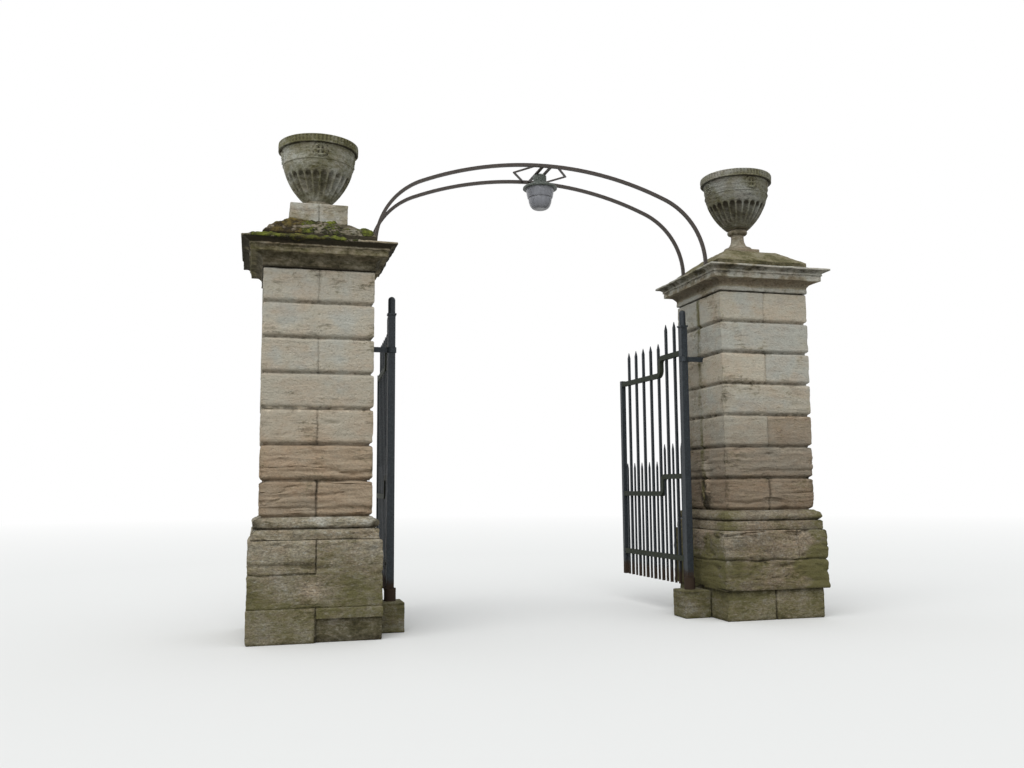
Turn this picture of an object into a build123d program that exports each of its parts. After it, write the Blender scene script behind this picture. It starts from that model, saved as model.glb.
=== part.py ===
from build123d import *
import math
import os

# Gate with gate piers: two rusticated stone piers with urns, a pair of iron leaves and a twin-rib
# overthrow with a lamp. Millimetres. X runs across the gateway, +Y inwards, Z up from the lowest ground.

# Piers
PIER_SPACING = 4295
SHAFT_WIDTH = 960
PLINTH_PROJECTION = 88
FOOT_HEIGHT = 282
FOOT_BAND_HEIGHT = 90
FOOTING_SETBACK = 45
PLINTH_HEIGHT = 556
PLINTH_ARRIS = 28
BASE_MOULD_HEIGHT = 188
BASE_BAND_HEIGHT = 90
BASE_BAND_PROJECTION = 57
TORUS_SETBACK = 18
TORUS_BULGE = 34
TORUS_COVE = 14
COURSES = 7
COURSE_HEIGHT = 305
JOINT_CHAMFER = 12
PERPEND_WIDTH = 20
BED_FOOT_HEIGHT = 40
BED_FOOT_PROJECTION = 10
BED_MOULD_HEIGHT = 112
BED_MOULD_PROJECTION = 96
FASCIA_HEIGHT = 52
FASCIA_PROJECTION = 109
FILLET_HEIGHT = 12
FILLET_STEP = 12
CYMATIUM_HEIGHT = 54
CYMATIUM_LIP = 20
CORNICE_PROJECTION = 181
WEATHERING_RISE = 24
CAP_WIDTH = 978
CAP_HEIGHT = 202
CAP_TOP_WIDTH = 560
CAP_EDGE = 63

# Urns
LEFT_BLOCK_WIDTH = 520
LEFT_BLOCK_HEIGHT = 189
LEFT_FOOT_HEIGHT = 64
LEFT_FOOT_RADIUS = 150
LEFT_FOOT_WAIST = 123
RIGHT_SLAB_WIDTH = 333
RIGHT_SLAB_HEIGHT = 65
RIGHT_STEM_HEIGHT = 232
RIGHT_STEM_BASE_RADIUS = 142
STEM_LIP = 26
STEM_NECK_RADIUS = 67
STEM_NECK_HEIGHT = 132
STEM_RING_RADIUS = 104
STEM_RING_HEIGHT = 40
STEM_SEAT_HEIGHT = 17
BOWL_HEIGHT = 551
BOWL_BASE_RADIUS = 120
BOWL_BELLY_RADIUS = 224
BOWL_BELLY_HEIGHT = 115
BOWL_LEDGE_RADIUS = 321
BOWL_LEDGE_HEIGHT = 335
BOWL_LEDGE_BEAD = 12
BOWL_FRIEZE_RADIUS = 338
BOWL_FLOOR = 75
BOWL_WALL = 46
RIM_RADIUS = 368
RIM_HEIGHT = 72
RIM_ROUNDING = 12

# Gate leaves
HINGE_OFFSET = 202
HINGE_SETBACK = 60
OPEN_ANGLE = 87
MEETING_GAP = 12
HEEL_SIDE = 66
HEEL_RING_RISE = 299
HEEL_RING_WIDTH = 82
HEEL_RING_DEPTH = 16
HEEL_HEAD_HEIGHT = 175
MEETING_SIDE = 48
MEETING_RISE = 14
RAIL_WIDTH = 44
RAIL_DEPTH = 50
RAIL_DROP = 175
RAIL_DROP_PLACE = 490
RAIL_BEND = 30
UPPER_RAIL_HEIGHT = 2421
LOCK_RAIL_HEIGHT = 1186
BOTTOM_RAIL_HEIGHT = 551
MAIN_BAR_SIDE = 25
MAIN_BARS = 7
MAIN_BAR_RISE = 340
DOG_BAR_SIDE = 18
DOG_BAR_RISE = 335
BAR_GROUND_CLEARANCE = 38
POINT_LENGTH = 60
BAR_POINT = 5

# Pivot and strap
PIVOT_STONE_HEIGHT = 262
PIVOT_STONE_REACH = 120
PIVOT_STONE_DEPTH = 280
CUP_RADIUS = 53
CUP_HEIGHT = 113
PIN_RADIUS = 20
PIN_DEPTH = 60
PIN_CLEARANCE = 0.3
JOURNAL_RADIUS = 31
SHOULDER_CLEARANCE = 2
STRAP_HEIGHT = 48
STRAP_THICKNESS = 14
STRAP_COURSES_DOWN = 2
STRAP_BELOW_JOINT = 24
STRAP_EMBED = 120

# Overthrow and lamp
RIB_SPACING = 510
RIB_SIDE = 30
RIB_RISE = 880
RIB_LEG = 42
RIB_HAUNCH_RADIUS = 690
RIB_SEAT_INSET = 503
SHOE_LENGTH = 110
SHOE_WIDTH = 76
SHOE_PLATE = 12
SHOE_SOCKET = 40
SHOE_WALL = 10
SHOE_SEAT_RISE = 10
SHOE_CLEARANCE = 2
TIE_SPACING = 80
TIE_WIDTH = 30
TIE_THICKNESS = 12
BRACE_REACH = 265
BRACE_FOOT = 110
BRACE_WIDTH = 20
HOUSING_RADIUS = 65
HOUSING_HEIGHT = 105
HOUSING_SHOULDER = 14
CANOPY_RADIUS = 168
CANOPY_HEIGHT = 38
CANOPY_LIP = 10
CANOPY_COLLAR = 8
GLOBE_RADIUS = 137
GLOBE_SWELL = 3
GLOBE_BAND_RADIUS = 122
GLOBE_BAND_DEPTH = 92
GLOBE_BAND_STEP = 7
GLOBE_FLOOR_RADIUS = 52
GLOBE_HEIGHT = 205
GLOBE_WALL = 5

# Heights up the pier
plinth_bottom = FOOT_HEIGHT
base_bottom = plinth_bottom + PLINTH_HEIGHT
shaft_bottom = base_bottom + BASE_MOULD_HEIGHT
shaft_top = shaft_bottom + COURSES * COURSE_HEIGHT
bed_top = shaft_top + BED_MOULD_HEIGHT
fascia_top = bed_top + FASCIA_HEIGHT
fillet_top = fascia_top + FILLET_HEIGHT
cornice_top = fillet_top + CYMATIUM_HEIGHT
cap_bottom = cornice_top + WEATHERING_RISE
cap_top = cap_bottom + CAP_HEIGHT

# Half widths of the pier
shaft_half = SHAFT_WIDTH / 2
plinth_half = shaft_half + PLINTH_PROJECTION
footing_half = plinth_half - FOOTING_SETBACK
cornice_half = shaft_half + CORNICE_PROJECTION
cap_half = CAP_WIDTH / 2

# Heights of the ironwork
cup_top = PIVOT_STONE_HEIGHT + CUP_HEIGHT
heel_bottom = cup_top + SHOULDER_CLEARANCE
bar_bottom = PIVOT_STONE_HEIGHT + BAR_GROUND_CLEARANCE
strap_level = shaft_top - STRAP_COURSES_DOWN * COURSE_HEIGHT - STRAP_BELOW_JOINT
strap_bottom = strap_level - STRAP_HEIGHT / 2
strap_top = strap_level + STRAP_HEIGHT / 2
heel_ring = strap_top + HEEL_RING_RISE
heel_top = heel_ring + HEEL_HEAD_HEIGHT

# Places in plan
pier_x = PIER_SPACING / 2
hinge_x = pier_x - shaft_half - HINGE_OFFSET
hinge_y = -HINGE_SETBACK
leaf_length = hinge_x - MEETING_GAP / 2 - MEETING_SIDE / 2
bar_pitch = leaf_length / (MAIN_BARS + 1)

# The overthrow's three-centred arch, which springs from short legs in the shoes
rib_x = pier_x - RIB_SEAT_INSET
rib_gap = RIB_SPACING - RIB_SIDE
shoe_bed = cornice_top + SHOE_SEAT_RISE
rib_seat = shoe_bed + SHOE_PLATE
springing = rib_seat + RIB_LEG
crown = springing + RIB_RISE
haunch_x = rib_x - RIB_HAUNCH_RADIUS
crown_radius = (haunch_x**2 + RIB_RISE**2 - RIB_HAUNCH_RADIUS**2) / (2 * (RIB_RISE - RIB_HAUNCH_RADIUS))
crown_centre = RIB_RISE - crown_radius
crown_turn = math.degrees(math.atan2(haunch_x, -crown_centre))

# The lamp hangs from the ties at the crown
housing_top = crown - TIE_THICKNESS / 2
canopy_top = housing_top - HOUSING_HEIGHT
canopy_bottom = canopy_top - CANOPY_HEIGHT
globe_band = canopy_bottom - GLOBE_BAND_DEPTH

# The origin is under the middle of the whole object, so the piers stand in front of it
open_turn = math.radians(OPEN_ANGLE)
leaf_end = leaf_length + MEETING_SIDE / 2
back_y = hinge_y + leaf_end * math.sin(open_turn) + MEETING_SIDE / 2 * math.cos(open_turn)
front_y = -cornice_half
line_y = -(front_y + back_y) / 2


def block(x0, x1, y0, y1, z0, z1):
    """A rectangular solid between two corners."""
    size = Box(x1 - x0, y1 - y0, z1 - z0, align=(Align.MIN, Align.MIN, Align.MIN))
    return Pos(x0, y0, z0) * size


def square_block(half, z0, z1):
    """A square block centred on the Z axis."""
    return block(-half, half, -half, half, z0, z1)


def closed_half(outline, z0, z1):
    """Close a half outline, drawn bottom to top in X and Z, along the Z axis."""
    bottom = Polyline((0, z0), outline @ 0)
    top = Polyline(outline @ 1, (0, z1), (0, z0))
    return make_face(Curve() + [bottom, outline, top])


def square_turned(outline, z0, z1):
    """A moulding that runs round a square pier, mitred at its four corners."""
    half = closed_half(outline, z0, z1)
    face = half + mirror(half, about=Plane.YZ)
    run = extrude(Plane.XZ * face, amount=cornice_half * 2, both=True)
    return run & Rot(0, 0, 90) * run


def turned(outline, z0, z1):
    """A solid of revolution about the Z axis from a half outline."""
    return revolve(Plane.XZ * closed_half(outline, z0, z1), axis=Axis.Z)


def joined_lines(parts):
    """One wire from outline pieces that follow each other."""
    return Wire([edge for part in parts for edge in part.edges()])


def cavetto(foot, top):
    """A hollow quarter ellipse, upright at its foot and level at its top."""
    wide = top[0] - foot[0]
    high = top[1] - foot[1]
    return EllipticalCenterArc((top[0], foot[1]), wide, high, 180, arc_size=-90)


def left_foot_course():
    """The left pier's lowest course; its block by the gateway is cut back under a thin band."""
    front = -plinth_half
    recess = block(0, plinth_half, front, front + FOOTING_SETBACK, 0, FOOT_HEIGHT - FOOT_BAND_HEIGHT)
    return square_block(plinth_half, 0, FOOT_HEIGHT) - recess


def right_foot_course():
    """The right pier's lowest course, a footing set back all round under the plinth."""
    return square_block(footing_half, 0, FOOT_HEIGHT)


def plinth():
    """The plinth's two courses, with a chamfered bed joint between them and a worn top arris."""
    middle = plinth_bottom + PLINTH_HEIGHT / 2
    joint = plinth_half - JOINT_CHAMFER
    worn = plinth_half - PLINTH_ARRIS
    faces = Polyline(
        (joint, plinth_bottom),
        (plinth_half, plinth_bottom + JOINT_CHAMFER),
        (plinth_half, middle - JOINT_CHAMFER),
        (joint, middle),
        (plinth_half, middle + JOINT_CHAMFER),
        (plinth_half, base_bottom - PLINTH_ARRIS),
    )
    arris = CenterArc((worn, base_bottom - PLINTH_ARRIS), PLINTH_ARRIS, 0, 90)
    return square_turned(joined_lines([faces, arris]), plinth_bottom, base_bottom)


def base_mould():
    """A plain band, a torus set back on it and a small splay up to the shaft."""
    band_edge = shaft_half + BASE_BAND_PROJECTION
    band_top = base_bottom + BASE_BAND_HEIGHT
    torus_foot = shaft_half + TORUS_SETBACK
    torus_half = (BASE_MOULD_HEIGHT - BASE_BAND_HEIGHT - TORUS_COVE) / 2
    band = Polyline((band_edge, base_bottom), (band_edge, band_top), (torus_foot, band_top))
    torus_centre = (torus_foot, band_top + torus_half)
    torus = EllipticalCenterArc(torus_centre, TORUS_BULGE, torus_half, -90, arc_size=180)
    splay = Line((torus_foot, shaft_bottom - TORUS_COVE), (shaft_half, shaft_bottom))
    return square_turned(joined_lines([band, torus, splay]), base_bottom, shaft_bottom)


def shaft_outline():
    """The rusticated side of the shaft: each course has its arrises chamfered."""
    points = []
    for course in range(COURSES):
        low = shaft_bottom + course * COURSE_HEIGHT
        high = low + COURSE_HEIGHT
        points.append((shaft_half - JOINT_CHAMFER, low))
        points.append((shaft_half, low + JOINT_CHAMFER))
        points.append((shaft_half, high - JOINT_CHAMFER))
    points.append((shaft_half - JOINT_CHAMFER, shaft_top))
    return Polyline(*points)


def perpend(z0, z1):
    """The upright V joint in the middle of one face of a course."""
    half = PERPEND_WIDTH / 2
    corners = [(-half, -shaft_half), (half, -shaft_half), (0, -shaft_half + half)]
    plan = make_face(Polyline(*corners, close=True))
    return extrude(Pos(0, 0, z0) * plan, amount=z1 - z0)


def strap_pocket():
    """The hole that the strap's tail fills in the right pier, about the pier's own axis."""
    half = STRAP_THICKNESS / 2
    x1 = -shaft_half + STRAP_EMBED
    return block(-shaft_half, x1, hinge_y - half, hinge_y + half, strap_bottom, strap_top)


def shaft():
    """The shaft of seven courses; every other one is two blocks wide."""
    body = square_turned(shaft_outline(), shaft_bottom, shaft_top)
    cuts = []
    for course in range(0, COURSES, 2):
        low = shaft_bottom + course * COURSE_HEIGHT
        for quarter in range(4):
            cuts.append(Rot(0, 0, 90 * quarter) * perpend(low, low + COURSE_HEIGHT))
    return body - cuts - strap_pocket()


def shoe_seat(side):
    """The flat seat for one rib's shoe, let into the cornice's weathering and the side of the cap."""
    x = -RIB_SEAT_INSET
    y = side * RIB_SPACING / 2
    half_length = SHOE_LENGTH / 2 + SHOE_CLEARANCE
    half_width = SHOE_WIDTH / 2 + SHOE_CLEARANCE
    return block(x - half_length, x + half_length, y - half_width, y + half_width, shoe_bed, cap_top)


def cornice():
    """An upright foot, a cavetto, a fascia with its fillet, a flaring cymatium and a weathered top."""
    bed_foot = shaft_half + BED_FOOT_PROJECTION
    bed_edge = shaft_half + BED_MOULD_PROJECTION
    fascia_edge = shaft_half + FASCIA_PROJECTION
    fillet_edge = fascia_edge + FILLET_STEP
    foot_top = shaft_top + BED_FOOT_HEIGHT
    lip_bottom = cornice_top - CYMATIUM_LIP
    upright = Line((bed_foot, shaft_top), (bed_foot, foot_top))
    cove = cavetto((bed_foot, foot_top), (bed_edge, bed_top))
    fascia = Polyline(
        (bed_edge, bed_top),
        (fascia_edge, bed_top),
        (fascia_edge, fascia_top),
        (fillet_edge, fascia_top),
        (fillet_edge, fillet_top),
    )
    flare = cavetto((fillet_edge, fillet_top), (cornice_half, lip_bottom))
    lip = Polyline((cornice_half, lip_bottom), (cornice_half, cornice_top), (cap_half, cap_bottom))
    body = square_turned(joined_lines([upright, cove, fascia, flare, lip]), shaft_top, cap_bottom)
    return body - shoe_seat(-1) - shoe_seat(1)


def cap():
    """The top stone, set back on the cornice: an upright edge, then a slope up to a flat for the urn."""
    edge_top = cap_bottom + CAP_EDGE
    outline = Polyline((cap_half, cap_bottom), (cap_half, edge_top), (CAP_TOP_WIDTH / 2, cap_top))
    body = square_turned(outline, cap_bottom, cap_top)
    return body - shoe_seat(-1) - shoe_seat(1)


def left_urn_block():
    """The rough block under the left urn."""
    return square_block(LEFT_BLOCK_WIDTH / 2, cap_top, cap_top + LEFT_BLOCK_HEIGHT)


def left_urn_foot():
    """The short foot that is all that is left below the left bowl."""
    z0 = cap_top + LEFT_BLOCK_HEIGHT
    z1 = z0 + LEFT_FOOT_HEIGHT
    waist = (LEFT_FOOT_WAIST, (z0 + z1) / 2)
    outline = ThreePointArc((LEFT_FOOT_RADIUS, z0), waist, (BOWL_BASE_RADIUS, z1))
    return turned(outline, z0, z1)


def right_urn_slab():
    """The square slab under the right urn."""
    return square_block(RIGHT_SLAB_WIDTH / 2, cap_top, cap_top + RIGHT_SLAB_HEIGHT)


def right_urn_stem():
    """The turned stem: a trumpet foot with its lip, a neck, a ring and the seat of the bowl."""
    z0 = cap_top + RIGHT_SLAB_HEIGHT
    z1 = z0 + RIGHT_STEM_HEIGHT
    lip_top = z0 + STEM_LIP
    neck_foot = z0 + STEM_NECK_HEIGHT
    ring_top = z1 - STEM_SEAT_HEIGHT
    ring_foot = ring_top - STEM_RING_HEIGHT
    trumpet_wide = RIGHT_STEM_BASE_RADIUS - STEM_NECK_RADIUS
    trumpet_high = neck_foot - lip_top
    lip = Line((RIGHT_STEM_BASE_RADIUS, z0), (RIGHT_STEM_BASE_RADIUS, lip_top))
    trumpet = EllipticalCenterArc(
        (RIGHT_STEM_BASE_RADIUS, neck_foot), trumpet_wide, trumpet_high, 270, arc_size=-90
    )
    neck = Line((STEM_NECK_RADIUS, neck_foot), (STEM_NECK_RADIUS, ring_foot))
    ring_edge = (STEM_RING_RADIUS, (ring_foot + ring_top) / 2)
    ring = ThreePointArc((STEM_NECK_RADIUS, ring_foot), ring_edge, (STEM_NECK_RADIUS, ring_top))
    seat = cavetto((STEM_NECK_RADIUS, ring_top), (BOWL_BASE_RADIUS, z1))
    return turned(joined_lines([lip, trumpet, neck, ring, seat]), z0, z1)


def bowl_outside(z0):
    """The bowl's outer half outline: belly, ledge, flaring frieze and rim."""
    ledge = z0 + BOWL_LEDGE_HEIGHT
    frieze_foot = ledge + BOWL_LEDGE_BEAD
    rim_bottom = z0 + BOWL_HEIGHT - RIM_HEIGHT
    belly_point = (BOWL_BELLY_RADIUS, z0 + BOWL_BELLY_HEIGHT)
    bead_point = (BOWL_LEDGE_RADIUS + BOWL_LEDGE_BEAD / 2, ledge + BOWL_LEDGE_BEAD / 2)
    belly = ThreePointArc((BOWL_BASE_RADIUS, z0), belly_point, (BOWL_LEDGE_RADIUS, ledge))
    bead = ThreePointArc((BOWL_LEDGE_RADIUS, ledge), bead_point, (BOWL_LEDGE_RADIUS, frieze_foot))
    lip_foot = z0 + BOWL_HEIGHT - RIM_ROUNDING
    frieze = Line((BOWL_LEDGE_RADIUS, frieze_foot), (BOWL_FRIEZE_RADIUS, rim_bottom))
    rim = Polyline((BOWL_FRIEZE_RADIUS, rim_bottom), (RIM_RADIUS, rim_bottom), (RIM_RADIUS, lip_foot))
    lip = CenterArc((RIM_RADIUS - RIM_ROUNDING, lip_foot), RIM_ROUNDING, 0, 90)
    return joined_lines([belly, bead, frieze, rim, lip])


def bowl_inside(z0):
    """The bowl's inner half outline, one wall inside the outer one, from its floor to its mouth."""
    ledge_radius = BOWL_LEDGE_RADIUS - BOWL_WALL
    floor_radius = BOWL_BASE_RADIUS - BOWL_WALL / 2
    belly_point = (
        (floor_radius + ledge_radius) / 2 + RIM_ROUNDING,
        z0 + (BOWL_FLOOR + BOWL_LEDGE_HEIGHT) / 2 - RIM_ROUNDING,
    )
    belly = ThreePointArc(
        (floor_radius, z0 + BOWL_FLOOR), belly_point, (ledge_radius, z0 + BOWL_LEDGE_HEIGHT)
    )
    mouth = Polyline(
        (ledge_radius, z0 + BOWL_LEDGE_HEIGHT),
        (BOWL_FRIEZE_RADIUS - BOWL_WALL, z0 + BOWL_HEIGHT - RIM_HEIGHT),
        (RIM_RADIUS - BOWL_WALL, z0 + BOWL_HEIGHT),
    )
    return joined_lines([belly, mouth])


def bowl(z0):
    """The urn's hollow bowl, with a moulded rim."""
    body = turned(bowl_outside(z0), z0, z0 + BOWL_HEIGHT)
    return body - turned(bowl_inside(z0), z0 + BOWL_FLOOR, z0 + BOWL_HEIGHT)


def pivot_stone(pier_foot):
    """The stone under a leaf's pivot, bedded against the foot of its pier."""
    x0 = hinge_x - PIVOT_STONE_REACH
    x1 = pier_x - pier_foot
    half = PIVOT_STONE_DEPTH / 2
    return block(x0, x1, hinge_y - half, hinge_y + half, 0, PIVOT_STONE_HEIGHT)


def cylinder(radius, z0, z1):
    """An upright cylinder on the Z axis."""
    base = Cylinder(radius, z1 - z0, align=(Align.CENTER, Align.CENTER, Align.MIN))
    return Pos(0, 0, z0) * base


def pivot_cup():
    """The rusty socket that the heel's pin turns in."""
    socket = cylinder(PIN_RADIUS + PIN_CLEARANCE, cup_top - PIN_DEPTH, cup_top)
    cup = cylinder(CUP_RADIUS, PIVOT_STONE_HEIGHT, cup_top) - socket
    return Pos(hinge_x, hinge_y, 0) * cup


def top_strap():
    """The collar round the heel's journal, with the tail that runs into the right pier."""
    bore = JOURNAL_RADIUS + PIN_CLEARANCE
    half = STRAP_THICKNESS / 2
    ring = cylinder(bore + STRAP_THICKNESS, strap_bottom, strap_top)
    tail = block(bore, HINGE_OFFSET + STRAP_EMBED, -half, half, strap_bottom, strap_top)
    strap = ring + tail - cylinder(bore, strap_bottom, strap_top)
    return Pos(hinge_x, hinge_y, 0) * strap


def heel_stile():
    """The heel stile with its foot pin, its round journal, its ring and its domed top."""
    half = HEEL_SIDE / 2
    journal_low = strap_bottom - SHOULDER_CLEARANCE
    journal_high = strap_top + SHOULDER_CLEARANCE
    ring_top = heel_ring + HEEL_RING_DEPTH
    dome_base = heel_top - half
    dome = Pos(0, 0, dome_base) * Sphere(half) & block(-half, half, -half, half, dome_base, heel_top)
    stile = square_block(half, heel_bottom, journal_low)
    stile += cylinder(JOURNAL_RADIUS, journal_low, journal_high)
    stile += square_block(half, journal_high, heel_ring)
    stile += square_block(HEEL_RING_WIDTH / 2, heel_ring, ring_top)
    stile += cylinder(half, ring_top, dome_base)
    stile += dome
    stile += cylinder(PIN_RADIUS, cup_top - PIN_DEPTH + PIN_CLEARANCE, heel_bottom)
    return stile


def meeting_stile():
    """The free edge of the leaf."""
    half = MEETING_SIDE / 2
    top = UPPER_RAIL_HEIGHT + RAIL_DEPTH / 2 + MEETING_RISE
    return block(leaf_length - half, leaf_length + half, -half, half, bar_bottom, top)


def main_bar_places():
    """Distances of the main bars from the heel's axis."""
    return [bar_pitch * (i + 1) for i in range(MAIN_BARS)]


def dog_bar_places():
    """Distances of the dog bars, one in the middle of each gap."""
    return [bar_pitch * (i + 0.5) for i in range(MAIN_BARS + 1)]


def bar(place, side, z0, z1):
    """A square bar at one place along the leaf."""
    half = side / 2
    return block(place - half, place + half, -half, half, z0, z1)


def pointed_bar(place, side, z0, z1):
    """A square bar drawn to a point at its top."""
    neck = z1 - POINT_LENGTH
    base = Pos(place, 0, neck) * Rectangle(side, side)
    point = Pos(place, 0, z1) * Rectangle(BAR_POINT, BAR_POINT)
    return bar(place, side, z0, neck) + loft([base, point])


def punched(rail, places, side):
    """A rail with a square hole for each bar that passes through it."""
    return rail - [bar(place, side, bar_bottom, heel_top) for place in places]


def corner_near(face, x, z):
    """The corner of a flat outline nearest to one point."""
    return face.vertices().sort_by_distance((x, z, 0))[0]


def stepped_rail(low):
    """A rail that stands higher beside the heel and drops in one easy step."""
    deep = RAIL_DEPTH / 2
    start = HEEL_SIDE / 2
    end = leaf_length - MEETING_SIDE / 2
    high = low + RAIL_DROP
    heel_side = RAIL_DROP_PLACE - deep
    free_side = RAIL_DROP_PLACE + deep
    outline = Polyline(
        (start, high - deep),
        (heel_side, high - deep),
        (heel_side, low - deep),
        (end, low - deep),
        (end, low + deep),
        (free_side, low + deep),
        (free_side, high + deep),
        (start, high + deep),
        close=True,
    )
    face = make_face(outline)
    outer = [corner_near(face, heel_side, low - deep), corner_near(face, free_side, high + deep)]
    face = fillet(outer, RAIL_BEND + RAIL_DEPTH)
    inner = [corner_near(face, heel_side, high - deep), corner_near(face, free_side, low + deep)]
    face = fillet(inner, RAIL_BEND)
    return extrude(Plane.XZ * face, amount=RAIL_WIDTH / 2, both=True)


def upper_rail():
    """The stepped top rail, punched for the main bars."""
    return punched(stepped_rail(UPPER_RAIL_HEIGHT), main_bar_places(), MAIN_BAR_SIDE)


def lock_rail():
    """The stepped middle rail, punched for the main and the dog bars."""
    rail = punched(stepped_rail(LOCK_RAIL_HEIGHT), main_bar_places(), MAIN_BAR_SIDE)
    return punched(rail, dog_bar_places(), DOG_BAR_SIDE)


def bottom_rail():
    """The straight bottom rail, punched for every bar."""
    deep = RAIL_DEPTH / 2
    wide = RAIL_WIDTH / 2
    start = HEEL_SIDE / 2
    end = leaf_length - MEETING_SIDE / 2
    rail = block(start, end, -wide, wide, BOTTOM_RAIL_HEIGHT - deep, BOTTOM_RAIL_HEIGHT + deep)
    rail = punched(rail, main_bar_places(), MAIN_BAR_SIDE)
    return punched(rail, dog_bar_places(), DOG_BAR_SIDE)


def stands_high(place):
    """Whether a bar stands in the higher part of the leaf, beside the heel."""
    return place < RAIL_DROP_PLACE


def main_bars():
    """The pointed bars that run the whole height of the leaf."""
    bars = []
    for place in main_bar_places():
        rail = UPPER_RAIL_HEIGHT + (RAIL_DROP if stands_high(place) else 0)
        bars.append(pointed_bar(place, MAIN_BAR_SIDE, bar_bottom, rail + MAIN_BAR_RISE))
    return Compound(bars)


def dog_bars():
    """The short pointed bars that close the lower part of the leaf."""
    bars = []
    for place in dog_bar_places():
        rail = LOCK_RAIL_HEIGHT + (RAIL_DROP if stands_high(place) else 0)
        bars.append(pointed_bar(place, DOG_BAR_SIDE, bar_bottom, rail + DOG_BAR_RISE))
    return Compound(bars)


def hung(shape):
    """Stand a piece of the right leaf on its hinge, open as it rests."""
    return Pos(hinge_x, hinge_y, 0) * Rot(0, 0, 180 - OPEN_ANGLE) * shape


def arch_line(offset):
    """The three arcs of the arch in X and Z, at one distance outside its centre line."""
    haunch = RIB_HAUNCH_RADIUS + offset
    sweep = 90 - crown_turn
    left = CenterArc((-haunch_x, 0), haunch, 180, -sweep)
    middle = CenterArc((0, crown_centre), crown_radius + offset, 90 + crown_turn, -2 * crown_turn)
    right = CenterArc((haunch_x, 0), haunch, sweep, -sweep)
    return [left, middle, right]


def rib(side):
    """One three-centred rib of square bar on its two straight legs."""
    half = RIB_SIDE / 2
    edges = [*arch_line(half), *arch_line(-half)]
    for x in (-rib_x, rib_x):
        leg = Polyline((x - half, 0), (x - half, -RIB_LEG), (x + half, -RIB_LEG), (x + half, 0))
        edges.extend(leg.edges())
    arch = extrude(Plane.XZ * make_face(edges), amount=half, both=True)
    return Pos(0, side * RIB_SPACING / 2, springing) * arch


def arch_shoe(x, side):
    """An iron foot plate with the socket that a rib's foot stands in."""
    y = side * RIB_SPACING / 2
    half_length = SHOE_LENGTH / 2
    half_width = SHOE_WIDTH / 2
    bottom = rib_seat - SHOE_PLATE
    plate = block(x - half_length, x + half_length, y - half_width, y + half_width, bottom, rib_seat)
    wall = RIB_SIDE / 2 + SHOE_WALL
    socket = block(x - wall, x + wall, y - wall, y + wall, rib_seat, rib_seat + SHOE_SOCKET)
    return plate + socket - rib(side)


def arch_shoes():
    """The four feet of the overthrow, let into the cornices beside the caps."""
    return Compound([arch_shoe(x, side) for x in (-rib_x, rib_x) for side in (-1, 1)])


def cross_tie(side):
    """One flat tie from rib to rib at the crown, over the lamp."""
    half_wide = TIE_WIDTH / 2
    x = side * TIE_SPACING / 2
    low = crown - TIE_THICKNESS / 2
    return block(x - half_wide, x + half_wide, -rib_gap / 2, rib_gap / 2, low, low + TIE_THICKNESS)


def lamp_brace():
    """The V-shaped strap that joins the ribs on the right of the lamp, pointing away from it."""
    reach = rib_gap / 2
    leg = math.hypot(BRACE_REACH - BRACE_FOOT, reach)
    half = BRACE_WIDTH / 2 * leg / reach
    outer = [(BRACE_FOOT + half, reach), (BRACE_REACH + half, 0), (BRACE_FOOT + half, -reach)]
    inner = [(BRACE_FOOT - half, -reach), (BRACE_REACH - half, 0), (BRACE_FOOT - half, reach)]
    plan = make_face(Polyline(*outer, *inner, close=True))
    return extrude(Pos(0, 0, crown - TIE_THICKNESS / 2) * plan, amount=TIE_THICKNESS)


def cross_ties():
    """The two ties that carry the lamp and the two V-shaped straps beside it."""
    brace = lamp_brace()
    return Compound([cross_tie(-1), cross_tie(1), brace, mirror(brace, about=Plane.YZ)])


def lamp_housing():
    """The round gear housing above the lamp's canopy."""
    outline = Polyline(
        (HOUSING_RADIUS, canopy_top),
        (HOUSING_RADIUS, housing_top - HOUSING_SHOULDER),
        (HOUSING_RADIUS - HOUSING_SHOULDER, housing_top),
    )
    return turned(outline, canopy_top, housing_top)


def lamp_canopy():
    """The shallow round canopy with its turned-down lip."""
    lip_top = canopy_bottom + CANOPY_LIP
    collar = HOUSING_RADIUS + CANOPY_COLLAR
    dome_wide = CANOPY_RADIUS - collar
    dome_high = canopy_top - lip_top
    lip = Line((CANOPY_RADIUS, canopy_bottom), (CANOPY_RADIUS, lip_top))
    dome = EllipticalCenterArc((collar, lip_top), dome_wide, dome_high, 0, arc_size=90)
    return turned(joined_lines([lip, dome]), canopy_bottom, canopy_top)


def globe_form(inset):
    """The globe's solid form, at one distance inside its outer face, with a step at its band."""
    floor = canopy_bottom - GLOBE_HEIGHT + inset
    step = globe_band + inset
    floor_radius = GLOBE_FLOOR_RADIUS - inset
    waist = GLOBE_BAND_RADIUS - GLOBE_BAND_STEP - inset
    band_edge = GLOBE_BAND_RADIUS - inset
    mouth = GLOBE_RADIUS - inset
    swell = ((band_edge + mouth) / 2 + GLOBE_SWELL, (step + canopy_bottom) / 2)
    lower = EllipticalCenterArc((floor_radius, step), waist - floor_radius, step - floor, 270, arc_size=90)
    band = Line((waist, step), (band_edge, step))
    upper = ThreePointArc((band_edge, step), swell, (mouth, canopy_bottom))
    return turned(joined_lines([lower, band, upper]), floor, canopy_bottom)


def lamp_globe():
    """The hollow glass bowl under the canopy."""
    return globe_form(0) - globe_form(GLOBE_WALL)


def write(name, shape):
    """Write one node, with the piers' centre line moved in front of the origin."""
    placed = Pos(0, line_y, 0) * shape
    export_step(Compound(placed.solids()), f"parts/{name}.step")


os.makedirs("parts", exist_ok=True)

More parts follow.
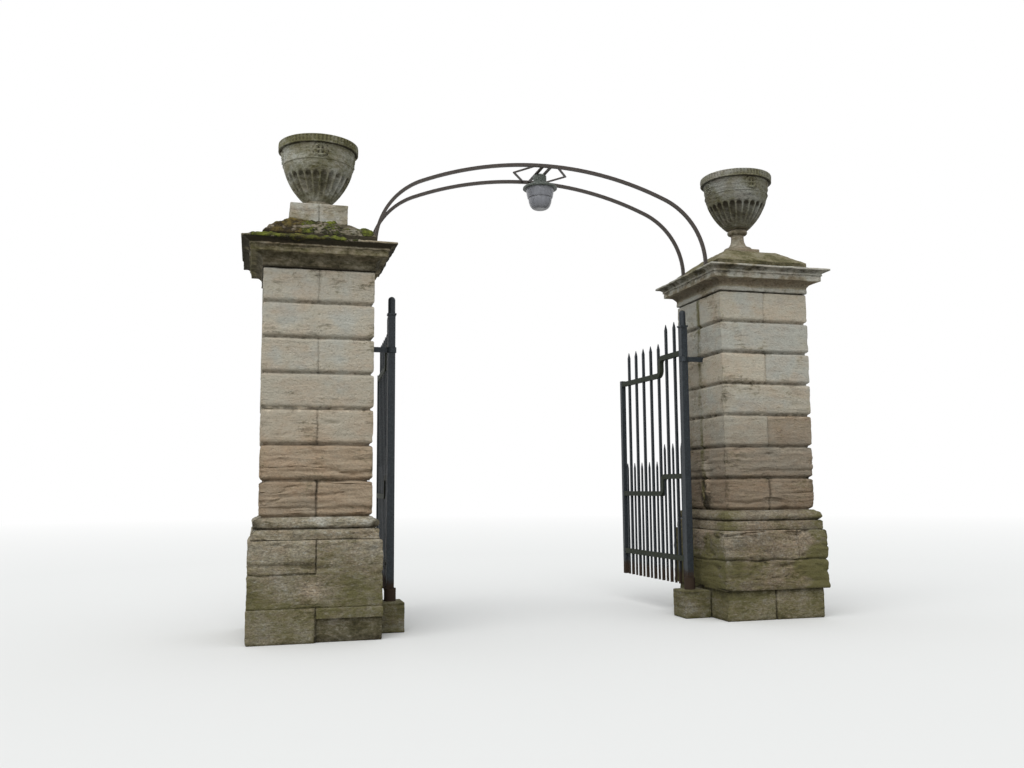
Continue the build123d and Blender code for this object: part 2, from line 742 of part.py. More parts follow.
pier_pieces = {
    "plinth": plinth(),
    "base_mould": base_mould(),
    "shaft": shaft(),
    "cornice": cornice(),
    "cap": cap(),
}
for name, piece in pier_pieces.items():
    right = Pos(pier_x, 0, 0) * piece
    write("right_" + name, right)
    write("left_" + name, mirror(right, about=Plane.YZ))

write("left_foot_course", Pos(-pier_x, 0, 0) * left_foot_course())
write("right_foot_course", Pos(pier_x, 0, 0) * right_foot_course())

left_bowl_foot = cap_top + LEFT_BLOCK_HEIGHT + LEFT_FOOT_HEIGHT
right_bowl_foot = cap_top + RIGHT_SLAB_HEIGHT + RIGHT_STEM_HEIGHT
write("left_urn_block", Pos(-pier_x, 0, 0) * left_urn_block())
write("left_urn_foot", Pos(-pier_x, 0, 0) * left_urn_foot())
write("left_urn_bowl", Pos(-pier_x, 0, 0) * bowl(left_bowl_foot))
write("right_urn_slab", Pos(pier_x, 0, 0) * right_urn_slab())
write("right_urn_stem", Pos(pier_x, 0, 0) * right_urn_stem())
write("right_urn_bowl", Pos(pier_x, 0, 0) * bowl(right_bowl_foot))

write("left_pivot_stone", mirror(pivot_stone(plinth_half), about=Plane.YZ))
write("right_pivot_stone", pivot_stone(footing_half))

hinge_pieces = {
    "pivot_cup": pivot_cup(),
    "top_strap": top_strap(),
    "heel_stile": hung(heel_stile()),
    "meeting_stile": hung(meeting_stile()),
    "upper_rail": hung(upper_rail()),
    "lock_rail": hung(lock_rail()),
    "bottom_rail": hung(bottom_rail()),
    "bars": hung(main_bars()),
    "dog_bars": hung(dog_bars()),
}
for name, piece in hinge_pieces.items():
    write("right_" + name, piece)
    write("left_" + name, mirror(piece, about=Plane.YZ))

write("front_arch", rib(-1))
write("back_arch", rib(1))
write("arch_shoes", arch_shoes())
write("cross_ties", cross_ties())
write("lamp_housing", lamp_housing())
write("lamp_canopy", lamp_canopy())
write("lamp_globe", lamp_globe())
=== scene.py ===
import math

import bmesh
import bpy
import numpy as np
from mathutils import Matrix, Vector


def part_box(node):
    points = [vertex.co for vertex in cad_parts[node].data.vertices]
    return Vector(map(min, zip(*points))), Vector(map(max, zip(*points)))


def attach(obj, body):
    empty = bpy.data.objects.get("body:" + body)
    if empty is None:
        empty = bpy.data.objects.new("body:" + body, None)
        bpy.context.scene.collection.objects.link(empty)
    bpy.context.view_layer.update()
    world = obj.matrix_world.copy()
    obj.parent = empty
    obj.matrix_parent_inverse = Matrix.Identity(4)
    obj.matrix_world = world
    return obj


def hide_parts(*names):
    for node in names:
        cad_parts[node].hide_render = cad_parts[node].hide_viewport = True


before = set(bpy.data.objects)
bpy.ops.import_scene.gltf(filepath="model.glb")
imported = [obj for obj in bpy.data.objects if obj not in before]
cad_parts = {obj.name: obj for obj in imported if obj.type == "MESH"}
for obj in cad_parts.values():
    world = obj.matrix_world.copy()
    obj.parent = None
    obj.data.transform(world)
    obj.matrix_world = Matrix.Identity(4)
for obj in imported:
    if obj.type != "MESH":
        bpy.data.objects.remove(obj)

bl_info = {
    "name": "Gate with Gate Piers",
    "version": (1, 0, 0),
    "blender": (4, 5, 0),
    "location": "View3D > Sidebar > Gateway",
    "description": "Weathered stone gate piers with urns, iron leaves and a lamp overthrow",
    "category": "Add Mesh",
}

GATEWAY = "gateway"
SIDES = ("left", "right")
LEAF_PARTS = ("heel_stile", "meeting_stile", "upper_rail", "lock_rail", "bottom_rail", "bars", "dog_bars")


def corners(node):
    """Lowest and highest corner of a CAD node as arrays, in metres."""
    low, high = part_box(node)
    return np.array(low), np.array(high)


def centre_of(node):
    """The upright axis of a CAD node, in X and Y."""
    low, high = corners(node)
    return (low[:2] + high[:2]) / 2


def half_width(node):
    """Half the width of a CAD node in X."""
    low, high = corners(node)
    return (high[0] - low[0]) / 2


AXIS = {"left": centre_of("left_shaft"), "right": centre_of("right_shaft")}
TO_GATEWAY = {"left": 1.0, "right": -1.0}
COURSES = 7
TURNED_STEPS = 96
WELD_DISTANCE = 2e-5
# Half the size of one of the overthrow's feet, and of the flat seat that the cap and cornice have under it
SHOE_HALF = (0.055, 0.038)
SEAT_HALF = (0.062, 0.045)
# Each stone's own start for its noise
SEEDS = {
    "left_foot_course": 260, "left_plinth": 210, "left_base_mould": 300, "left_shaft": 100,
    "left_cornice": 700, "left_cap": 1000, "left_pivot_stone": 41,
    "left_urn_block": 61, "left_urn_foot": 81, "left_urn_bowl": 1500,
    "right_foot_course": 560, "right_plinth": 510, "right_base_mould": 600, "right_shaft": 400,
    "right_cornice": 900, "right_cap": 1200, "right_pivot_stone": 43,
    "right_urn_slab": 67, "right_urn_stem": 83, "right_urn_bowl": 1700,
    "stone_fragment": 77,
}


def colour(code):
    """An sRGB hex colour as linear red, green and blue with full alpha."""
    parts = [int(code[i:i + 2], 16) / 255 for i in (1, 3, 5)]
    linear = [p / 12.92 if p <= 0.04045 else ((p + 0.055) / 1.055) ** 2.4 for p in parts]
    return (*linear, 1.0)


# Noise for the weathered surfaces

def scattered(cell, seed):
    """A fixed number from 0 to 1 for each whole-number cell: coordinates times primes, mixed bit by bit."""
    primes = np.array([73856093, 19349663, 83492791], np.uint32)
    mixed = (cell.astype(np.int64) & 0xFFFFFFFF).astype(np.uint32) * primes
    h = mixed[..., 0] ^ mixed[..., 1] ^ mixed[..., 2] ^ np.uint32(seed * 2654435761 & 0xFFFFFFFF)
    h = (h ^ (h >> np.uint32(15))) * np.uint32(739164013)
    h = (h ^ (h >> np.uint32(12))) * np.uint32(695872825)
    h = h ^ (h >> np.uint32(15))
    return h / 4294967295.0


def swell(points, size, seed):
    """Smooth noise from -1 to 1 with bumps about one size across: the numbers at the eight corners of a
    point's cell, blended by 3f^2 - 2f^3 along each axis."""
    place = points / np.asarray(size, float)
    cell = np.floor(place)
    f = place - cell
    f = f * f * (3 - 2 * f)
    total = np.zeros(points.shape[:-1])
    for corner in np.ndindex(2, 2, 2):
        weight = np.prod(np.where(np.array(corner) == 1, f, 1 - f), axis=-1)
        total += weight * scattered(cell + corner, seed)
    return 2 * total - 1


def rough(points, size, seed, octaves=3):
    """Noise from about -1 to 1: swells, each half the size and half the height of the one before."""
    size = np.asarray(size, float)
    total = np.zeros(points.shape[:-1])
    for octave in range(octaves):
        total += swell(points, size / 2 ** octave, seed + octave) / 2 ** octave
    return total / (2 - 2 ** (1 - octaves))


def rise(value, low, high):
    """0 below low, 1 above high, and the smooth step between."""
    f = np.clip((value - low) / (high - low), 0, 1)
    return f * f * (3 - 2 * f)


def near(value, place, width):
    """A bell that is 1 at one place and falls away over one width."""
    return np.exp(-((value - place) / width) ** 2)


def share(noise):
    """Noise from -1 to 1 as a share from 0 to 1."""
    return np.clip(0.5 + 0.5 * noise, 0, 1)


# Surfaces

class Sheet:
    """A ring of points, rows up and columns round, with numbers on each point for the materials."""

    def __init__(self, points, **marks):
        self.points = points
        self.marks = {key: np.broadcast_to(value, points.shape[:2]) for key, value in marks.items()}

    def quads(self, first):
        """Four corners for each cell; the last column joins the first."""
        rows, columns = self.points.shape[:2]
        index = first + np.arange(rows * columns).reshape(rows, columns)
        index = np.concatenate([index, index[:, :1]], axis=1)
        cells = [index[:-1, :-1], index[:-1, 1:], index[1:, 1:], index[1:, :-1]]
        return np.stack(cells, axis=-1).reshape(-1, 4)


def make_mesh(name, sheets, sharp):
    """One mesh from sheets: seams and poles merged, faces outwards, edges over one angle kept sharp."""
    points = np.concatenate([sheet.points.reshape(-1, 3) for sheet in sheets])
    firsts = np.cumsum([0] + [sheet.points.shape[0] * sheet.points.shape[1] for sheet in sheets])
    quads = np.concatenate([sheet.quads(first) for sheet, first in zip(sheets, firsts)])
    mesh = bpy.data.meshes.new(name)
    mesh.vertices.add(len(points))
    mesh.vertices.foreach_set("co", points.ravel())
    mesh.loops.add(quads.size)
    mesh.loops.foreach_set("vertex_index", quads.ravel())
    mesh.polygons.add(len(quads))
    mesh.polygons.foreach_set("loop_start", np.arange(0, quads.size, 4))
    mesh.update(calc_edges=True)
    for key in sorted({key for sheet in sheets for key in sheet.marks}):
        blank = [sheet.marks.get(key, np.zeros(sheet.points.shape[:2])) for sheet in sheets]
        values = np.concatenate([np.asarray(b, float).ravel() for b in blank])
        mesh.attributes.new(key, "FLOAT", "POINT").data.foreach_set("value", values)
    whole = bmesh.new()
    whole.from_mesh(mesh)
    bmesh.ops.remove_doubles(whole, verts=whole.verts, dist=WELD_DISTANCE)
    bmesh.ops.recalc_face_normals(whole, faces=whole.faces)
    whole.to_mesh(mesh)
    whole.free()
    mesh.shade_smooth()
    mesh.set_sharp_from_angle(angle=math.radians(sharp))
    return mesh


def add_piece(name, sheets, slot, replaces=(), sharp=50, body=GATEWAY):
    """Put a finished piece into the scene, on its body and in place of its CAD nodes."""
    mesh = make_mesh(name, sheets, sharp)
    piece = bpy.data.objects.new(name, mesh)
    bpy.context.scene.collection.objects.link(piece)
    mesh.materials.append(finish_of(slot))
    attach(piece, body)
    if replaces:
        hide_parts(*replaces)


def stand_in(node, ending, sheets, slot, sharp=50):
    """Add the piece that stands for one CAD node, named for the node."""
    add_piece(node + ending, sheets, slot, [node], sharp)


def divided(outline, step):
    """The corners of an outline with even points between them, no further apart than one step."""
    outline = np.asarray(outline, float)
    runs = []
    for a, b in zip(outline[:-1], outline[1:]):
        count = max(1, int(np.ceil(np.hypot(*(b - a)) / step)))
        runs.append(np.linspace(a, b, count + 1)[:-1])
    return np.concatenate(runs + [outline[-1:]])


def closed(outline):
    """An outline with the axis points that close it at the bottom and top."""
    outline = np.asarray(outline, float)
    return np.concatenate([[[0, outline[0, 1]]], outline, [[0, outline[-1, 1]]]])


def bent(start, through, end, count):
    """Even points on the circle through three points."""
    (ax, ay), (bx, by), (cx, cy) = start, through, end
    d = 2 * (ax * (by - cy) + bx * (cy - ay) + cx * (ay - by))
    a2, b2, c2 = ax * ax + ay * ay, bx * bx + by * by, cx * cx + cy * cy
    ox = (a2 * (by - cy) + b2 * (cy - ay) + c2 * (ay - by)) / d
    oy = (a2 * (cx - bx) + b2 * (ax - cx) + c2 * (bx - ax)) / d
    turns = np.unwrap([math.atan2(y - oy, x - ox) for x, y in (start, through, end)])
    t = np.linspace(turns[0], turns[2], count)
    radius = math.hypot(ax - ox, ay - oy)
    return np.stack([ox + radius * np.cos(t), oy + radius * np.sin(t)], axis=1)


def side_places(half, step, joint):
    """Places from -1 to 1 along one side of a square, closer together at the ends and at the middle joint."""
    even = np.linspace(-1, 1, max(5, int(2 * half / step)) + 1)
    tight = np.array([0.3, 0.9, 1.6, 2.6]) * 0.01 / half
    middle = np.concatenate([-tight[::-1] * joint, [0], tight * joint])
    ends = np.concatenate([-1 + tight, 1 - tight])
    kept = even[(np.abs(even) > 0.033 / half) & (np.abs(even) < 1 - 0.033 / half)]
    return np.unique(np.round(np.concatenate([kept, middle, ends, [-1, 1]]), 6))


class SquareStone:
    """Points on a square stone with rounded corners, before wear.

    A point lies at one place along one of four sides; q is the point clamped to the square less the corner
    radius, and the rounded point is q plus the radius along the line from q to the point.
    """

    def __init__(self, axis, outline, places, corner, halves=(1.0, 1.0)):
        self.side = np.repeat(np.arange(4), len(places) - 1)
        place = np.tile(places[:-1], 4)
        half = outline[:, :1]
        turn = self.side * math.pi / 2
        long_way = half * np.where(self.side % 2 == 0, halves[0], halves[1])
        out_way = half * np.where(self.side % 2 == 0, halves[1], halves[0])
        corner = np.minimum(corner, np.minimum(long_way, out_way) * 0.5) + 1e-9
        along = place * long_way
        clamped = np.clip(along, corner - long_way, long_way - corner)
        da = along - clamped
        length = np.hypot(da, corner)
        na, nb = da / length, corner / length
        self.along = clamped + corner * na
        across = out_way - corner + corner * nb
        ex, ey = np.cos(turn), np.sin(turn)
        x = ex * self.along + ey * across
        y = ey * self.along - ex * across
        z = np.broadcast_to(outline[:, 1:], x.shape)
        self.local = np.stack([x, y, z], axis=-1)
        self.outward = np.stack([ex * na + ey * nb, ey * na - ex * nb, np.zeros_like(x)], axis=-1)
        self.axis = axis
        self.half = np.broadcast_to(half, x.shape)
        self.z = z
        self.edge = long_way - np.abs(self.along)

    def tilted(self, amount, across, up, seed):
        """The points moved up and down by noise, so that what follows their height wanders as beds do."""
        shift = amount * rough(self.local * [1, 1, 0.4], (across, across, up), seed, 2)
        return self.local + [0, 0, 1] * shift[..., None]

    def worn(self, depth, lift=0.0):
        """The points moved inwards by the wear and up by a lift, in the shared frame."""
        depth = np.clip(depth, 0, None) * rise(self.half, 0.02, 0.1)
        points = self.local - self.outward * depth[..., None]
        points[..., 2] += lift
        points[..., :2] += self.axis
        return points


def stone_number(stone, course, split, seed):
    """A fixed number from -1 to 1 for each block: the four corner stones of a split course, or one stone."""
    quadrant = (stone.side + (stone.along > 0)) % 4
    cell = np.stack([quadrant * split, np.full_like(quadrant, course), np.zeros_like(quadrant)], axis=-1)
    return 2 * scattered(cell, seed) - 1


# Materials

def add(tree, kind, inputs=(), **settings):
    """Add one node with its settings. Inputs go by their number or name, or in the sockets' order; a socket
    or a node, which stands for its first output in use, is linked, and any other value is set."""
    node = tree.nodes.new("ShaderNode" + kind)
    for name, value in settings.items():
        setattr(node, name, value)
    for key, value in inputs.items() if isinstance(inputs, dict) else enumerate(inputs):
        if isinstance(value, bpy.types.Node):
            value = next(socket for socket in value.outputs if socket.enabled)
        if isinstance(value, bpy.types.NodeSocket):
            tree.links.new(value, node.inputs[key])
        else:
            node.inputs[key].default_value = value
    return node


WHITE = (1.0, 1.0, 1.0, 1.0)
# What multiplies a sandstone's colour where iron has turned it rosy
ROSY = (1.0, 0.86, 0.78, 1.0)


def new_tree(name):
    """An empty node material: its tree, shader and material output are added by the caller."""
    material = bpy.data.materials.new(name)
    material.use_nodes = True
    material.node_tree.nodes.clear()
    return material, material.node_tree


def weathered_sandstone(name, face, stone, bed_depth, grain, speckle):
    """Dressed sandstone left out for centuries: matt, gritty, with bedding lines that open as it weathers.

    The mesh says where the stone is bared, crusted, filmed with algae or mossy, and where shade and
    highlights are painted on it; the nodes break the edges of those patches up, because growth follows the
    grain. Quartz sandstone has no gloss, so roughness is high.
    The beds' and the grain's depths are in metres, and speckle is how far the spots differ from the face.
    """
    bloom, crust = stone.bloom, stone.crust
    material, tree = new_tree(name)
    place = add(tree, "TexCoord").outputs["Object"]
    marks = {}
    for key in ("tone", "warm", "crust", "green", "moss"):
        marks[key] = add(tree, "Attribute", attribute_name=key).outputs["Fac"]
    # Bedding planes lie flat and wander: the place is pushed about by some 20 mm each way, then stretched
    # along the beds
    drift = add(tree, "TexNoise", {"Vector": place, "Scale": 2.6, "Detail": 3.0})
    drift = add(tree, "VectorMath", {0: drift.outputs[1], 3: 0.09}, operation="SCALE")
    drift = add(tree, "VectorMath", [place, drift], operation="ADD")
    flat = add(tree, "Mapping", {"Vector": drift, "Scale": (1.3, 1.3, 15.0)})
    # Beds 15 to 60 mm thick
    beds = add(tree, "TexNoise", {"Vector": flat, "Scale": 1.9, "Detail": 6.0, "Roughness": 0.62})
    # Open cracks run where the beds' noise crosses one level
    crack = add(tree, "Math", [beds, 0.57], operation="SUBTRACT")
    crack = add(tree, "Math", [crack], operation="ABSOLUTE")
    crack = add(tree, "MapRange", [crack, 0.003, 0.026, 1.0, 0.0])
    # Stains about 300 mm across, and blotches of 40 mm
    stain = add(tree, "TexNoise", {"Vector": place, "Scale": 3.4, "Detail": 7.0, "Roughness": 0.62})
    laid = add(tree, "Mapping", {"Vector": place, "Scale": (0.8, 0.8, 1.5)})
    blotch = add(tree, "TexNoise", {"Vector": laid, "Scale": 24.0, "Detail": 5.0, "Roughness": 0.7})
    # Grit is about 1 mm in the real stone and is drawn at 17 mm so that it shows
    grit = add(tree, "TexNoise", {"Vector": laid, "Scale": 58.0, "Detail": 3.0, "Roughness": 0.7})
    # Pits about 28 mm apart where the face has lost grains
    pits = add(tree, "TexVoronoi", {"Vector": drift, "Scale": 36.0, "Randomness": 1.0})
    pit = add(tree, "MapRange", [pits, 0.12, 0.4, 0.0, 1.0])
    open_here = add(tree, "MapRange", [stain, 0.46, 0.62, 0.0, 1.0])
    crack = add(tree, "Math", [crack, open_here], operation="MULTIPLY")
    warm = add(tree, "Math", [stain, marks["warm"]], operation="ADD")
    warmth = add(tree, "MapRange", [warm, 0.55, 1.2, 0.0, 1.0])
    base = add(tree, "Mix", {0: warmth, 6: face, 7: stone.bared}, data_type="RGBA")
    cool = add(tree, "MapRange", [warm, 0.5, 0.34, 0.0, 0.75])
    base = add(tree, "Mix", {0: cool, 6: base, 7: bloom}, data_type="RGBA")
    # The iron in the stone colours some beds rosy, in patches about 150 mm across
    patch = add(tree, "TexNoise", {"Vector": laid, "Scale": 6.5, "Detail": 5.0, "Roughness": 0.6})
    rosy = add(tree, "MapRange", [patch, 0.44, 0.66, 0.0, 0.5])
    base = add(tree, "Mix", {0: rosy, 6: base, 7: ROSY}, data_type="RGBA", blend_type="MULTIPLY")
    # Pale lichen in spots of about 37 mm, dark grime between them
    spots = add(tree, "TexNoise", {"Vector": laid, "Scale": 27.0, "Detail": 6.0, "Roughness": 0.75})
    pale = add(tree, "MapRange", [spots, 0.53, 0.66, 0.0, 2.6 * speckle])
    base = add(tree, "Mix", {0: pale, 6: base, 7: bloom}, data_type="RGBA")
    grime = add(tree, "MapRange", [spots, 0.47, 0.32, 0.0, 2.6 * speckle])
    base = add(tree, "Mix", {0: grime, 6: base, 7: crust}, data_type="RGBA")
    # Lightness: beds and blotches, stains, the mesh's tone (each block's own, with painted shade and
    # highlights), then grit
    low, high = 0.93 - 1.1 * speckle, 1.07 + 1.1 * speckle
    shade = add(tree, "Math", [beds, blotch], operation="ADD")
    shade = add(tree, "MapRange", [shade, 0.7, 1.3, low, high])
    cloud = add(tree, "MapRange", [stain, 0.3, 0.7, -0.12, 0.12])
    shade = add(tree, "Math", [shade, cloud], operation="ADD")
    tone = add(tree, "Math", [marks["tone"], 0.2, shade], operation="MULTIPLY_ADD")
    low, high = 0.99 - 1.6 * speckle, 1.01 + 1.6 * speckle
    speck = add(tree, "MapRange", [grit, 0.36, 0.64, low, high])
    light = add(tree, "Math", [tone, speck], operation="MULTIPLY")
    for layer, depth in {crack: -0.2, pit: 0.5 * speckle}.items():
        light = add(tree, "Math", [layer, depth, light], operation="MULTIPLY_ADD")
    base = add(tree, "VectorMath", {0: base, 3: light}, operation="SCALE")
    # Crust with painted shade, and algae: the mesh's marks plus noise, with a ragged edge
    edge = add(tree, "Math", [blotch, stain], operation="ADD")
    edge = add(tree, "Math", [edge, 1.0], operation="SUBTRACT")
    grown = add(tree, "Math", [edge, 2.0, marks["green"]], operation="MULTIPLY_ADD")
    grown = add(tree, "MapRange", [grown, 0.2, 1.0, 0.0, 0.85])
    base = add(tree, "Mix", {0: grown, 6: base, 7: stone.film}, data_type="RGBA")
    crust_and_shade_mix = add(tree, "Math", [edge, 1.5, marks["crust"]], operation="MULTIPLY_ADD")
    crust_and_shade_mix = add(tree, "MapRange", [crust_and_shade_mix, 0.2, 0.95, 0.0, 0.92])
    base = add(tree, "Mix", {0: crust_and_shade_mix, 6: base, 7: crust}, data_type="RGBA")
    # Moss in tufts of about 28 mm: brown-green between the cushions, yellow-green on their tips
    tuft = add(tree, "TexNoise", {"Vector": place, "Scale": 36.0, "Detail": 6.0, "Roughness": 0.8})
    tip = add(tree, "Math", [tuft, 2.2, marks["moss"]], operation="MULTIPLY_ADD")
    tip = add(tree, "MapRange", [tip, 1.6, 2.4, 0.0, 1.0])
    moss = add(tree, "Mix", {0: tip, 6: stone.moss_bed, 7: stone.moss_tip}, data_type="RGBA")
    dead = add(tree, "MapRange", [warm, 0.62, 0.85, 0.0, 0.85])
    straw = add(tree, "Mix", {0: tip, 6: stone.straw_bed, 7: stone.straw_tip}, data_type="RGBA")
    moss = add(tree, "Mix", {0: dead, 6: moss, 7: straw}, data_type="RGBA")
    mossy = add(tree, "Math", [edge, 2.4, marks["moss"]], operation="MULTIPLY_ADD")
    mossy = add(tree, "MapRange", [mossy, 0.42, 0.6, 0.0, 1.0])
    alive = add(tree, "MapRange", [marks["moss"], 0.02, 0.2, 0.0, 1.0])
    mossy = add(tree, "Math", [mossy, alive], operation="MULTIPLY")
    base = add(tree, "Mix", {0: mossy, 6: base, 7: moss}, data_type="RGBA")
    # Relief in metres: beds, cracks, grit, pits and blotches, and tufts where the moss is
    relief = add(tree, "Math", [beds, bed_depth], operation="MULTIPLY")
    layers = {crack: -0.004, grit: grain, pit: 0.003, blotch: 0.007}
    for layer, depth in layers.items():
        relief = add(tree, "Math", [layer, depth, relief], operation="MULTIPLY_ADD")
    cushion = add(tree, "Math", [tuft, mossy], operation="MULTIPLY")
    relief = add(tree, "Math", [cushion, 0.03, relief], operation="MULTIPLY_ADD")
    bump = add(tree, "Bump", {"Height": relief, "Distance": 1.0, "Strength": 0.9})
    shader = add(
        tree, "BsdfPrincipled",
        {"Base Color": base, "Roughness": 0.93, "Normal": bump, "Specular IOR Level": 0.25},
    )
    add(tree, "OutputMaterial", {"Surface": shader})
    return material


def painted_wrought_iron(name, paint, worn, rust, film, rust_top, damp):
    """Wrought iron under old oil paint: a dull sheen, hammered waviness, chalky wear, rust from the foot up.

    The rust gives way to paint between the two levels of rust_top, and damp is how green the sides are.
    """
    material, tree = new_tree(name)
    place = add(tree, "TexCoord").outputs["Object"]
    # Hammer marks about 60 mm apart, drawn as a gentle waviness
    hammer = add(tree, "TexNoise", {"Vector": place, "Scale": 17.0, "Detail": 3.0, "Roughness": 0.5})
    # Paint comes away in flakes about 14 mm across
    flake = add(tree, "TexNoise", {"Vector": place, "Scale": 70.0, "Detail": 6.0, "Roughness": 0.7})
    dust = add(tree, "MapRange", [flake, 0.42, 0.72, 0.0, 0.75])
    base = add(tree, "Mix", {0: dust, 6: paint, 7: worn}, data_type="RGBA")
    height = add(tree, "SeparateXYZ", [place])
    low = add(tree, "MapRange", [height.outputs[2], rust_top[0], rust_top[1], 0.75, 0.0])
    rusted = add(tree, "Math", [low, flake], operation="ADD")
    rusted = add(tree, "MapRange", [rusted, 0.66, 0.86, 0.0, 1.0])
    base = add(tree, "Mix", {0: rusted, 6: base, 7: rust}, data_type="RGBA")
    # Green film settles on the upper faces
    normal = add(tree, "NewGeometry").outputs["Normal"]
    up = add(tree, "SeparateXYZ", [normal])
    flat = add(tree, "Math", [up.outputs[2], hammer], operation="MULTIPLY")
    flat = add(tree, "MapRange", [flat, 0.25, 0.5, 0.0, 0.8])
    sides = add(tree, "MapRange", [flake, 0.36, 0.56, 0.2 * damp, damp])
    flat = add(tree, "Math", [flat, sides], operation="MAXIMUM")
    base = add(tree, "Mix", {0: flat, 6: base, 7: film}, data_type="RGBA")
    dull = add(tree, "Math", [rusted, flat], operation="MAXIMUM")
    gloss = add(tree, "MapRange", [dull, 0.0, 0.7, 0.5, 0.92])
    relief = add(tree, "Math", [hammer, 0.004], operation="MULTIPLY")
    relief = add(tree, "Math", [flake, 0.0012, relief], operation="MULTIPLY_ADD")
    bump = add(tree, "Bump", {"Height": relief, "Distance": 1.0, "Strength": 0.6})
    shader = add(
        tree, "BsdfPrincipled",
        {"Base Color": base, "Roughness": gloss, "Normal": bump, "Specular IOR Level": 0.3},
    )
    add(tree, "OutputMaterial", {"Surface": shader})
    return material


def opal_glass(name, lamp):
    """Pressed opal glass: milky, half clear, smooth, with grime that runs down from the canopy."""
    material, tree = new_tree(name)
    place = add(tree, "TexCoord").outputs["Object"]
    # Streaks about 30 mm wide and 200 mm long
    streak = add(tree, "Mapping", {"Vector": place, "Scale": (34.0, 34.0, 5.0)})
    runs = add(tree, "TexNoise", {"Vector": streak, "Scale": 1.0, "Detail": 5.0})
    height = add(tree, "SeparateXYZ", [place])
    # Dirt lodges by the raised band
    band = add(tree, "Math", [height.outputs[2], lamp.band_level], operation="SUBTRACT")
    band = add(tree, "Math", [band], operation="ABSOLUTE")
    band = add(tree, "MapRange", [band, 0.002, 0.012, 0.12, 0.0])
    dirty = add(tree, "Math", [runs, band], operation="ADD")
    dirty = add(tree, "MapRange", [dirty, 0.4, 0.85, 0.0, 0.5])
    base = add(tree, "Mix", {0: dirty, 6: lamp.glass, 7: lamp.grime}, data_type="RGBA")
    shader = add(
        tree, "BsdfPrincipled",
        {"Base Color": base, "Roughness": 0.28, "IOR": 1.5, "Transmission Weight": 0.25},
    )
    add(tree, "OutputMaterial", {"Surface": shader})
    return material


MATERIALS = {}
# Name, setting of the face, depths of the beds and of the grain in metres, and speckle
SANDSTONES = {
    "shaft_stone": ("buff sandstone", "pale", 0.008, 0.0016, 0.06),
    "plinth_stone": ("algae-stained sandstone", "footing", 0.009, 0.004, 0.2),
    "cornice_stone": ("crusted sandstone", "cornice", 0.004, 0.002, 0.1),
    "cap_stone": ("mossy sandstone", "cornice", 0.005, 0.002, 0.1),
    "urn_stone": ("lichened carved sandstone", "urn", 0.003, 0.002, 0.12),
}
# Name, group, its settings for paint, wear, rust and film, the levels where the rust ends, and damp
IRONS = {
    "gate_iron": ("black-painted wrought iron", "iron", "paint chalk rust film", (0.3, 0.5), 0.0),
    "rail_iron": ("damp wrought iron rails", "iron", "paint chalk rust film", (0.2, 0.3), 0.75),
    "rusty_iron": ("rusted cast iron", "iron", "rust paint rust rust", (0.3, 3.0), 0.0),
    "arch_iron": ("weathered iron bar", "iron", "arch arch_wear rust arch_wear", (3.3, 3.5), 0.0),
    "lamp_metal": ("grey-green enamelled iron", "lamp", "enamel chalk grime chalk", (3.9, 4.19), 0.0),
}


def finish_of(key):
    """The material of one finish, made the first time that it is asked for."""
    if key not in MATERIALS:
        scene = bpy.context.scene
        if key in SANDSTONES:
            name, face, *wear = SANDSTONES[key]
            stone = scene.gateway_stone
            MATERIALS[key] = weathered_sandstone(name, getattr(stone, face), stone, *wear)
        elif key in IRONS:
            name, group, shades, *wear = IRONS[key]
            settings = getattr(scene, "gateway_" + group)
            shades = [getattr(settings, shade) for shade in shades.split()]
            MATERIALS[key] = painted_wrought_iron(name, *shades, *wear)
        else:
            MATERIALS[key] = opal_glass("opal glass", scene.gateway_lamp)
    return MATERIALS[key]


# Settings

def shade_of(name, description, code):
    """A colour setting."""
    return bpy.props.FloatVectorProperty(
        name=name, description=description, default=colour(code), size=4, subtype="COLOR", min=0, max=1
    )


def length_of(name, description, default):
    """A length setting in metres."""
    return bpy.props.FloatProperty(
        name=name, description=description, default=default,
        min=0, unit="LENGTH", subtype="DISTANCE", precision=4,
    )


def count_of(name, description, default):
    """A number of like things."""
    return bpy.props.IntProperty(name=name, description=description, default=default, min=4)


def strength_of(name, description, default):
    """The strength of a light."""
    return bpy.props.FloatProperty(name=name, description=description, default=default, min=0)


class GatewayStone(bpy.types.PropertyGroup):
    """Colours and wear of the stone."""

    step: length_of("Grid step", "Distance between points on the stone faces", 0.013)
    waviness: length_of("Face wear", "How far the dressed faces are worn in swells", 0.006)
    arris: length_of("Arris wear", "How far the edges of the courses are worn", 0.010)
    recess: length_of("Joint depth", "Depth of the V joints between the blocks", 0.022)
    pale: shade_of("Pale face", "Dressed face of the shaft", "#a8a293")
    bared: shade_of("Bared stone", "Fresh stone where the face has gone", "#988873")
    bloom: shade_of("Bloom", "Grey bloom on the driest faces", "#a9aaa2")
    footing: shade_of("Plinth", "Face of the plinths and footings", "#857e6d")
    cornice: shade_of("Cornice", "Face of the cornices and caps", "#938b77")
    urn: shade_of("Urn", "Face of the urns", "#868577")
    # The crust colour, also used for painted shade in coves, hollows and under overhangs
    crust: shade_of("Crust", "Dark crust in sheltered places", "#2e291e")
    film: shade_of("Algae", "Green film on damp faces", "#5a5731")
    moss_bed: shade_of("Moss bed", "Moss between its cushions", "#23240f")
    moss_tip: shade_of("Moss tips", "Tips of the moss", "#7c8430")
    straw_bed: shade_of("Dead moss bed", "Dead moss between its cushions", "#33291a")
    straw_tip: shade_of("Dead moss tips", "Tips of the dead moss", "#806b3c")


